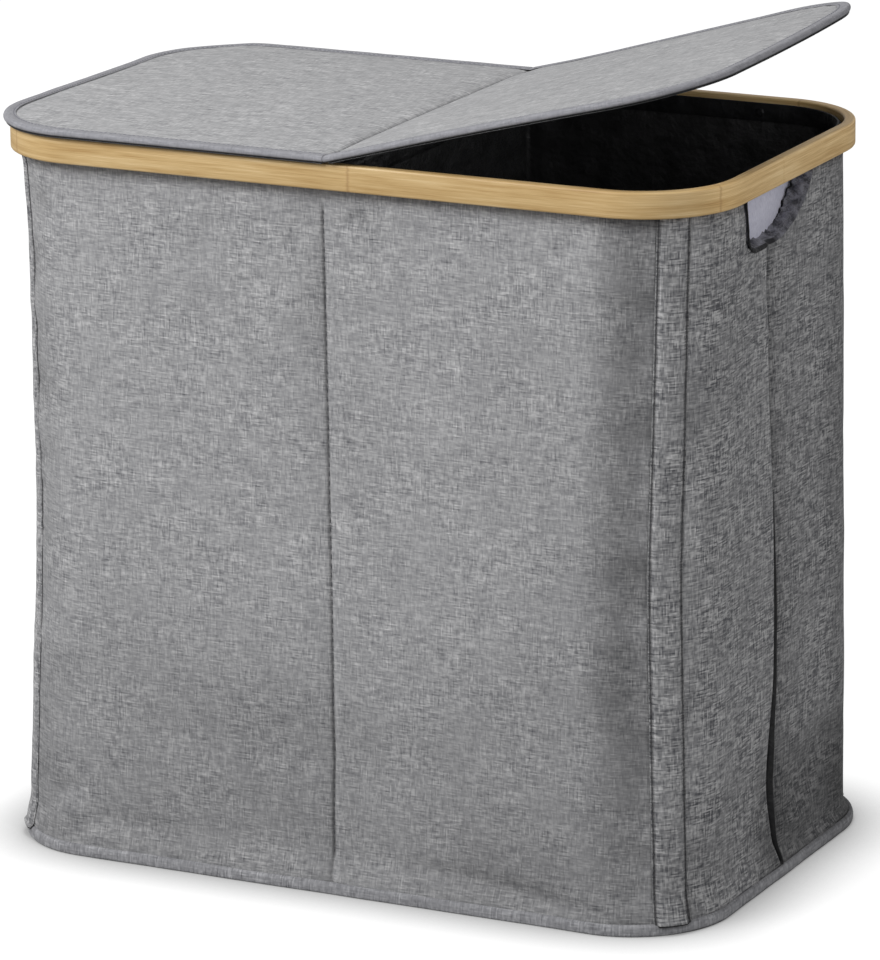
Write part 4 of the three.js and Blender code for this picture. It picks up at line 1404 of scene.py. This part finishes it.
def make_divider():
    """The stiff board between the linings, whose edges follow the seams that hold it."""
    heights = spread(DIVIDER_LOW.z, DIVIDER_HIGH.z, 0.008)
    half = (DIVIDER_HIGH.x - DIVIDER_LOW.x) / 2
    inside = CLOTH_THICKNESS + 3 * CLEARANCE
    front, _ = wall_surface(drawn(0 * heights, heights), heights, -inside)
    rear, _ = wall_surface(0 * heights + HALF_ROUND, heights, -inside)
    points = [triples(x, wall[:, 1], heights)
              for x, wall in ((-half, front), (half, front), (half, rear), (-half, rear))]
    board = make_piece("divider", np.stack(points, 1), tube(len(heights), 4), fibreboard, "body",
                       sharp=40)
    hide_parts("divider_board")


BASE_RINGS = (1.0, 0.97, 0.92, 0.84, 0.72, 0.58, 0.42, 0.26, 0.12)


def make_base_cover():
    """The cloth under the base."""
    stations = np.linspace(-HALF_ROUND, HALF_ROUND, 321)[:-1]
    x, y, _, _ = place(wall_outline(0.0, 0.0002), stations, WALL)
    rings = []
    for share in BASE_RINGS:
        sag = 0.0002 * (1 + drift(50, x * share * 20, y * share * 20)) * (share < 1)
        rings.append(triples(x * share, y * share, 0.0002 + sag))
    grid = np.array(rings)
    piece = make_piece("base_cloth", grid, bag(*grid.shape[:2]), under_cloth, "body",
                       triples(grid[..., 0], grid[..., 1], 0))
    thicken(piece, LINER_THICKNESS, offset=1.0)
    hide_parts("base_cover")


HOLD_UNIT = 0.001
POCKET_MOUTH = 0.0072
TURN_STEP = 0.004


def hold_frame(sign, turns):
    """Points on the wall along a hand hold's edge, and the directions away from the hole."""
    y, height = hold_curve(turns)
    points, _ = wall_surface(sign * around_of_side(y), height)
    after = np.stack(hold_curve(np.clip(turns + TURN_STEP, 0, math.pi)), -1)
    before = np.stack(hold_curve(np.clip(turns - TURN_STEP, 0, math.pi)), -1)
    run = after - before
    run /= np.linalg.norm(run, axis=1, keepdims=True)
    away = triples(0, -run[:, 1], run[:, 0])
    towards = away[:, 1] * (y - HOLD_Y) + away[:, 2] * (height - RIM_BOTTOM)
    return points, away * np.where(towards < 0, -1.0, 1.0)[:, None]


# The tape's profile in units, as (away from the hole, depth), where it goes in below zero
HOLD_TAPE = ((1.5, 0.2), (1.2, 0.75), (0.6, 0.95), (-0.1, 0.8), (-0.7, 0.3), (-1.1, -0.5),
             (-1.4, -2.4), (-1.5, -4.4), (-1.5, -6.4), (-1.4, -8.4), (-1.3, -10.0), (-1.2, -11.5))


def make_hold_binding(side, sign):
    """Tape over the cut edge: a thin lip outside and a crumpled return that goes in to the pocket."""
    turns = np.linspace(0.0, math.pi, 221)
    points, away = hold_frame(sign, turns)
    radial, depth = np.array(HOLD_TAPE).T
    run = np.arange(len(turns))[:, None] * 0.0009
    inward = np.maximum(0, -depth) / -depth.min()
    crumple = noise_at(run * 110, depth * 0.14, 3.0 + sign)
    fold = noise_at(run * 300, depth * 0.35, 9.0 + sign)
    shift = radial - (6.5 * np.abs(crumple) + 2.5 * fold) * (0.08 + 1.1 * inward)
    out = depth + np.where(depth > 0, 0.25 * crumple, 0.7 * fold)
    grid = points[:, None] + HOLD_UNIT * (away[:, None] * shift[..., None] + triples(sign * out, 0, 0))
    grid[..., 2] = np.minimum(grid[..., 2], RIM_BOTTOM - CLEARANCE)
    along = np.linspace(0, HOLD_TAPE_LENGTH, len(turns))[:, None]
    piece = make_piece(f"hold_binding_{side}", grid, facing(lattice(*grid.shape[:2]), sign),
                       dark_tape, "body", triples(along, depth * HOLD_UNIT, 0))
    smoother = piece.modifiers.new("smoother", "SUBSURF")
    smoother.levels = smoother.render_levels = 1
    thicken(piece, TAPE_THICKNESS, offset=0.0)
    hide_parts(f"handle_binding_{side}")


POCKET_DEPTH = 0.0064
POCKET_BULGE = 0.0035
POCKET_OVERLAP = 0.0010
# The pocket's rings, as the share of its depth and how far they are drawn in to its middle
POCKET_RINGS = ((-0.8, 0.0), (0.0, 0.0), (0.25, 0.0), (0.5, 0.0), (0.75, 0.0), (1.0, 0.02),
                (1.0, 0.08), (1.0, 0.16), (1.0, 0.28), (1.0, 0.42), (1.0, 0.58), (1.0, 0.74),
                (1.0, 0.9))


def make_pocket(side, sign):
    """The bag behind a hand hold: short walls and a slightly bulged back."""
    y, height = hold_curve(np.linspace(0.0, math.pi, 97))
    top_y = np.linspace(y[-1], y[0], 34)[1:-1]
    ring = np.stack([[*y, *top_y], [*height, *(0 * top_y + RIM_BOTTOM)]])
    centre = np.array([[HOLD_Y], [RIM_BOTTOM - HOLD_DROP * 0.45]])
    mouth = RIM_HIGH.x - TOP_INSET - POCKET_MOUTH
    rows = []
    for depth, inward in POCKET_RINGS:
        scale = (1 - inward) * (HOLD_HALF + POCKET_OVERLAP - depth * 0.001) / HOLD_HALF
        ring_y, ring_z = centre + (ring - centre) * scale
        ring_z = np.minimum(ring_z, RIM_BOTTOM - 0.0012)
        bulge = POCKET_BULGE * smooth(inward / 0.9)
        crumple = 0.0009 * drift(60 + sign, ring_y * 60, ring_z * 60) * depth
        out = 1.0
        if depth < 0:
            out = mix(0.06, 1.0, smooth((ring_z - RIM_BOTTOM + 0.008) / 0.006))
        x = mouth - POCKET_DEPTH * depth * out + bulge + crumple
        rows.append(triples(sign * x, ring_y, ring_z))
    grid = np.array(rows)
    piece = make_piece(f"hold_pocket_{side}", grid, bag(*grid.shape[:2]), pale_cloth, "body",
                       triples(grid[..., 1], grid[..., 2], 0))
    thicken(piece, LINER_THICKNESS, offset=1.0)
    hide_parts(f"handle_pocket_{side}")


def make_hinge_tape():
    """The sewn tape between the lids: a flange on the bar and a low soft ridge."""
    half_ridge = 0.0004
    flange = TAPE_LOW.z + 0.0009
    top = mix(flange, TAPE_HIGH.z, 0.55)
    half = [(TAPE_HIGH.x, TAPE_LOW.z), (TAPE_HIGH.x, flange), (0.0035, flange),
            (0.0014, flange + 0.0005), (half_ridge, flange + 0.0018), (half_ridge, top - half_ridge),
            (half_ridge / 2, top)]
    profile = [(-TAPE_HIGH.x, TAPE_LOW.z), *half, *((-x, z) for x, z in half[:0:-1])]
    stations = spread(TAPE_LOW.y, TAPE_HIGH.y, 0.004)
    x, z = np.array(profile).T
    y = stations[:, None]
    x = x + 0.00015 * noise_at(y * 90, 0, 5)
    piece = make_piece("hinge_ridge", triples(x, y, z), tube(*x.shape), black_webbing, "body",
                       triples(y, x + z, 0), 40)
    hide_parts("hinge_tape")


SLEEVE_OUT = 0.0005
SLEEVE_EDGE = 0.004


def make_bar_sleeve():
    """The black cloth that the linings share over the bar."""
    half = BAR_HIGH.x + SLEEVE_OUT
    low, high = BAR_LOW.z - SLEEVE_OUT, BAR_HIGH.z + 0.0001
    profile = [(-SLEEVE_EDGE, low), (-half, low), (-half, high), (half, high), (half, low),
               (SLEEVE_EDGE, low)]
    places = np.linspace(0, len(profile) - 1, 4 * (len(profile) - 1) + 1)
    x, z = (np.interp(places, range(len(profile)), values) for values in zip(*profile))
    stations = spread(BAR_LOW.y + 0.001, BAR_HIGH.y - 0.001, 0.004)
    y = stations[:, None]
    slack = 0.0004 * (1 + noise_at(x * 150, y * 40, z * 150))
    slack = np.copysign(slack, x) * (np.abs(x) > half * 0.9)
    sleeve = make_piece("bar_sleeve", triples(x + slack, y, z), lattice(*slack.shape),
                        black_cloth, "body", triples(y + 0 * x, 0, 0))
    thicken(sleeve, 0.0003, offset=0.0)


# Lids

LID_GAP = HINGE.x - LID_HIGH.x
LID_TOP = LID_HIGH.z
LID_BOTTOM = LID_LOW.z
COVER_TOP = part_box("lid_top_cover_left")[1].z
COVER_INSET = 0.0040
BINDING_REACH = 0.0090
BINDING_THICKNESS = 0.0007
GROOVE_INSET = 0.0098
GROOVE_LINES = ((-0.0008, 0.0010), (-0.0004, 0.005))
COVER_TUCK = 0.0009
COVER_WAVES = ((70, 14, 14, 0.0003), (71, 40, 40, 0.0001))
REAR_SQUASH = 0.28
CORNER_SQUASH = 0.5
ROLL_REACH = (0.0085, 0.018)
ROLL_DROP = 0.0030
UNDERSIDE_INSET = 0.0016
TAPE_LIFT = 0.0011
BOARD_START = 0.0195
# The painted shadow on the lid tape's lower edge
TAPE_FOOT_SHADE = 0.9
# How far the raised lid's rear and front edges curl up, at each distance from the hinge
REAR_CURL = ((0.0, 0.0), (0.03, 0.0), (0.10, 0.0020), (0.168, 0.0043), (0.214, 0.0060),
             (0.27, 0.0078))
FRONT_CURL = ((0.0, 0.0), (0.09, 0.0009), (0.19, 0.0008), (0.27, -0.0002))
COVER_CROWN = 0.0005
LID_BOARD_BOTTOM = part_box("lid_board_left")[0].z
LID_BOARD_THICKNESS = 0.0009
LID_START = 0.0008
LINING_START = 0.0018
COVER_REST = mix(COVER_TOP, LID_TOP, 0.75)
LID_STITCH_INSET = 0.0072
LID_CLOTH_THICKNESS = 0.0005
# Shares of a lid's width at which its cloths have points beside the hinge and the outer edge
LID_SHARES_START = (0, 0.0015, 0.004, 0.008, 0.013, 0.02, 0.03)
LID_SHARES_END = (0.968, 0.978, 0.986, 0.993, 1.0)


def lid_rows(inset, steps=18, spacing=0.006):
    """Rows across a lid, as their y and the x of their outer end."""
    outline = lid_outline(LID_TOP, inset)
    turns = np.linspace(0, QUARTER, steps + 1)
    corner_y = outline.side + outline.radius * np.sin(turns)
    corner_x = outline.face + outline.radius * np.cos(turns)
    middle_y = spread(-outline.side, outline.side, spacing)[1:-1]
    y = np.concatenate([-corner_y[::-1], middle_y, corner_y])
    x = np.concatenate([corner_x[::-1], np.full(len(middle_y), outline.half_width), corner_x])
    return y, x


def lid_edge_distance(x, y):
    """Distance in from a lid's outer edge."""
    outline = lid_outline(LID_TOP)
    over_x = np.maximum(x - outline.face, 0)
    over_y = np.maximum(np.abs(y) - outline.side, 0)
    corner = outline.radius - np.hypot(over_x, over_y)
    straight = np.minimum(outline.half_width - x, outline.half_depth - np.abs(y))
    return np.where((over_x > 0) & (over_y > 0), corner, straight)


def lid_sheet(inset, height_at, first, seed):
    """A cloth over a lid, from the hinge line to its outer edge."""
    row_y, row_x = lid_rows(inset)
    shares = np.array([*LID_SHARES_START, *np.linspace(0.045, 0.955, 58), *LID_SHARES_END])
    y = np.repeat(row_y[:, None], len(shares), 1)
    x = first + shares * (row_x[:, None] - first)
    return triples(x, y, height_at(x, y, seed)), lattice(*x.shape), triples(x + seed, y, 0)


def cover_height(x, y, seed):
    """Height of a lid's top, with its crown, the groove along its tape and its rolled hinge edge."""
    edge = lid_edge_distance(x, y)
    crown = COVER_CROWN * smooth((edge - BINDING_REACH) / 0.05)
    groove = sum(line(edge - GROOVE_INSET, *each) for each in GROOVE_LINES)
    groove = groove * mix(0.4, 1.0, smooth((y + 0.13) / 0.04))
    tucked = -COVER_TUCK * smooth((BINDING_REACH - edge) / 0.002)
    waves = sum(ripple(x, y, first + seed, *size) for first, *size in COVER_WAVES)
    reach = mix(*ROLL_REACH, smooth((y + 0.05) / 0.2))
    from_hinge = np.clip((x - LID_GAP) / reach, 0, 1)
    roll = -ROLL_DROP * (1 - np.sqrt(1 - (1 - from_hinge) ** 2))
    return COVER_REST + crown + (groove + waves) * smooth(x / 0.02) + tucked + roll


def underside_height(x, y, seed):
    """Height of the cloth under a lid."""
    return LID_BOTTOM + 0.0002 + ripple(x, y, 73 + seed, 20, 20, 0.0001)


def lid_squash(x, y, sign):
    """How far a lid is pressed thin: along the rear, and at the left lid's rear corner."""
    rear = REAR_SQUASH * smooth((y - 0.11) / 0.045)
    corner = CORNER_SQUASH * smooth((x - 0.19) / 0.06) * smooth((y + 0.10) / 0.19)
    return np.maximum(rear, corner) if sign < 0 else rear


def to_side(points, sign, share=1.0):
    """Lids are made at the right, lying flat. The right one is then raised, by a share of its
    angle, and the left one mirrored."""
    made = np.array(points, float).reshape(-1, 3)
    x, y = made[:, 0], made[:, 1]
    made[:, 2] = LID_BOTTOM + (made[:, 2] - LID_BOTTOM) * (1 - lid_squash(x, y, sign))
    if sign > 0:
        rearward = np.clip((y / LID_HALF_DEPTH + 1) / 2, 0, 1)
        made[:, 2] += curve(x, REAR_CURL) * rearward**3 + curve(x, FRONT_CURL) * (1 - rearward)
    if sign < 0:
        made[:, 0] *= -1
        return made
    x, z = made[:, 0] - HINGE.x, made[:, 2] - HINGE.z
    angle = RAISED * share
    made[:, 0] = HINGE.x + x * np.cos(angle) - z * np.sin(angle)
    made[:, 2] = HINGE.z + x * np.sin(angle) + z * np.cos(angle)
    return made


def binding_profile():
    low, high = LID_BOTTOM + TAPE_LIFT, LID_TOP
    radius = (high - low) / 2
    reach, skin = BINDING_REACH, BINDING_THICKNESS
    outer = [(reach, low), *arc_points((radius, low + radius), radius, 270, 90, 12),
             (LID_STITCH_INSET - 0.0012, high), (LID_STITCH_INSET, high - 0.00045),
             (LID_STITCH_INSET + 0.0010, high - 0.0001), (reach - 0.0003, high - 0.0002)]
    inner = [(reach, high - skin), (radius, high - skin), (radius - 0.0010, high - 1.4 * skin),
             (radius - 0.0010, low + 1.4 * skin), (radius, low + skin), (reach, low + skin)]
    return outer + inner


def tape_shading(around, height):
    """Painted shadow on the tape's lower edge, which lies in the dark between lid and rim."""
    above = height - LID_BOTTOM - TAPE_LIFT
    return triples(TAPE_FOOT_SHADE * (1 - smooth((above - 0.0004) / 0.0011)), 0, 0)


def make_lid_board(side, sign):
    """The board in a lid. It stops short of the hinge, where the cloth folds."""
    row_y, row_x = lid_rows(GROOVE_INSET + 0.001)
    x = BOARD_START + np.linspace(0, 1, 30) * (row_x[:, None] - BOARD_START)
    flat = triples(x, row_y[:, None], LID_BOARD_BOTTOM)
    board = make_piece(f"lid_panel_{side}", to_side(flat, sign), facing(lattice(*x.shape), sign),
                       fibreboard, f"{side}_lid")
    thicken(board, LID_BOARD_THICKNESS, offset=1.0)
    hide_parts(f"lid_board_{side}")


def make_lid_tape(side, sign, seed):
    """The folded tape round a lid's outer edge, with its row of stitches."""
    def soften(around, inset, height):
        soft = 0.00025 * drift(80 + seed, around * 45, inset * 90)
        return inset - soft * (inset < BINDING_REACH * 0.9), height + 0.6 * soft

    def finish(points, faces):
        return to_side(points, sign), facing(faces, -sign)

    half = LID.marks()[4]
    stations = outline_stations(LID, LID_START, half - LID_START)
    tape = sweep(f"lid_tape_{side}", lid_outline, stations, binding_profile(), LID, lid_tape,
                 f"{side}_lid", sharp=60, shift=soften, shade_at=tape_shading,
                 finish=finish)
    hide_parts(f"lid_binding_{side}")

    around = outline_stations(LID, 0.004, half - 0.004)
    x, y, _, _ = place(lid_outline(0, LID_STITCH_INSET), around, LID)
    raised = RAISED if sign > 0 else 0.0
    normals = [(-math.sin(raised), 0.0, math.cos(raised))] * len(x)
    sew(f"lid_stitches_{side}", to_side(triples(x, y, LID_TOP - 0.0003), sign), normals,
        *STITCH, lid_thread, f"{side}_lid", "grey_binding")


def make_lid(side, sign):
    body = f"{side}_lid"
    seed = 1 + sign
    points, faces, cloth = lid_sheet(COVER_INSET, cover_height, LID_START, seed)
    cover = make_piece(f"lid_cover_{side}", to_side(points, sign), facing(faces, sign),
                       cover_cloth, body, cloth)
    thicken(cover, LID_CLOTH_THICKNESS)
    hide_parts(f"lid_top_cover_{side}")

    make_lid_board(side, sign)
    points, faces, cloth = lid_sheet(UNDERSIDE_INSET, underside_height, LINING_START, seed)
    lining = make_piece(f"lid_lining_{side}", to_side(points, sign), facing(faces, -sign),
                        black_cloth, body, cloth)
    thicken(lining, LID_CLOTH_THICKNESS)
    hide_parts(f"lid_underside_{side}")
    make_lid_tape(side, sign, seed)


JOIN_REACH = 0.004
JOIN_INSET = 0.0003
JOIN_SQUASH = 0.92


def make_lid_joins(side, sign):
    """The lids' tape runs on across the hinge, at the front and the rear, where it bends."""
    insets, heights = np.array(binding_profile()).T
    middle = (LID_BOTTOM + LID_TOP) / 2
    along = np.linspace(0, JOIN_REACH, 9)
    z, share = np.meshgrid(middle + JOIN_SQUASH * (heights - middle), smooth(along / JOIN_REACH))
    for label, start, step in (("front", 0.0, 1), ("rear", LID.marks()[4], -1)):
        inset, around = np.meshgrid(insets + JOIN_INSET, start + step * along)
        x, y, _, _ = place(lid_outline(0, inset), around, LID)
        join = make_piece(f"lid_join_{label}_{side}", to_side(triples(x, y, z), sign, share.ravel()),
                          facing(tube(*z.shape), -sign * step), lid_tape, None,
                          triples(around, inset + z, 0), 60, tape_shading(around, z))
        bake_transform(join)


def dress_frame_nodes():
    """Materials of the frame's own solids that stay in the scene."""
    finishes = (("centre_bar", bamboo_solid), ("bar_dowel", bamboo_solid), ("base_board", fibreboard),
                ("rim_tack", tack_steel), ("hinge_tack", tack_steel))
    for name, node in frame["nodes"].items():
        for start, material in finishes:
            if name.startswith(start):
                node.data.materials.clear()
                node.data.materials.append(material)


# Light and floor

LAMP_PLACE = Vector((-1.2, -1.75, 2.0))
LAMP_AIM = Vector((0.0, 0.0, 0.3))
LAMP_POWER = 51.0
LAMP_SIZE = 1.3
FILL_PLACE = Vector((2.1, -0.9, 1.1))
FILL_POWER = 7.0
FILL_SIZE = 1.5
WORLD_STRENGTH = 0.5
FLOOR_HALF = 12.0
FLOOR_GLOW = 0.92
FLOOR_SEEN = 0.22
FLOOR_BOUNCE = 0.34
SHADOW_REACH = 0.062
SHADOW_DEPTH = 0.25


def make_lamp(name, place_at, power, size):
    data = bpy.data.lights.new(name, "AREA")
    data.shape = "DISK"
    data.size = size
    data.energy = power
    lamp = bpy.data.objects.new(name, data)
    lamp.location = place_at
    lamp.rotation_mode = "QUATERNION"
    lamp.rotation_quaternion = (place_at - LAMP_AIM).to_track_quat("Z", "Y")
    lamp.visible_camera = False
    scene.collection.objects.link(lamp)


def make_light():
    make_lamp("softbox", LAMP_PLACE, LAMP_POWER, LAMP_SIZE)
    make_lamp("fill", FILL_PLACE, FILL_POWER, FILL_SIZE)
    world = bpy.data.worlds.new("world")
    world.use_nodes = True
    tree = world.node_tree
    seen = tree.nodes.new("ShaderNodeLightPath").outputs["Is Camera Ray"]
    level = tree.nodes.new("ShaderNodeMix")
    level.data_type = "FLOAT"
    level.inputs[2].default_value = WORLD_STRENGTH
    level.inputs[3].default_value = 1.0
    tree.links.new(seen, level.inputs[0])
    background = tree.nodes["Background"]
    background.inputs["Color"].default_value = (1.0, 1.0, 1.0, 1.0)
    tree.links.new(level.outputs[0], background.inputs["Strength"])
    scene.world = world


def make_floor():
    mesh = bpy.data.meshes.new("floor")
    h = FLOOR_HALF
    mesh.from_pydata([(-h, -h, 0), (h, -h, 0), (h, h, 0), (-h, h, 0)], [], [(0, 1, 2, 3)])
    surface = Surface("floor", roughness=0.9, specular=0.0)
    seen = surface.add("ShaderNodeLightPath").outputs["Is Camera Ray"]
    surface.colour(surface.blend(seen, (FLOOR_BOUNCE,) * 3 + (1.0,), (FLOOR_SEEN,) * 3 + (1.0,)))
    glow = surface.math("MULTIPLY", seen, FLOOR_GLOW)
    surface.tree.links.new(glow, surface.shader.inputs["Emission Strength"])
    open_sky = surface.add("ShaderNodeAmbientOcclusion", {"Distance": SHADOW_REACH}).outputs["AO"]
    shade = surface.remap(open_sky, 0.5, 1.0, SHADOW_DEPTH)
    surface.tree.links.new(shade, surface.shader.inputs["Emission Color"])
    mesh.materials.append(surface.material)
    floor = bpy.data.objects.new("floor", mesh)
    scene.collection.objects.link(floor)


for end, sign_y in ENDS:
    make_shell(end, sign_y)
make_seam_stitches()
for end, side in CASINGS:
    make_slat(end, side)
    make_casing(end, side)
make_hem()
make_rim()
make_hem_bands()
for side, sign in SIDES:
    make_liner(side, sign)
    make_piping(side, sign)
    make_hold_binding(side, sign)
    make_pocket(side, sign)
    make_lid(side, sign)
    make_lid_joins(side, sign)
make_base_cover()
make_divider()
make_bar_sleeve()
make_hinge_tape()
dress_frame_nodes()
make_light()
make_floor()
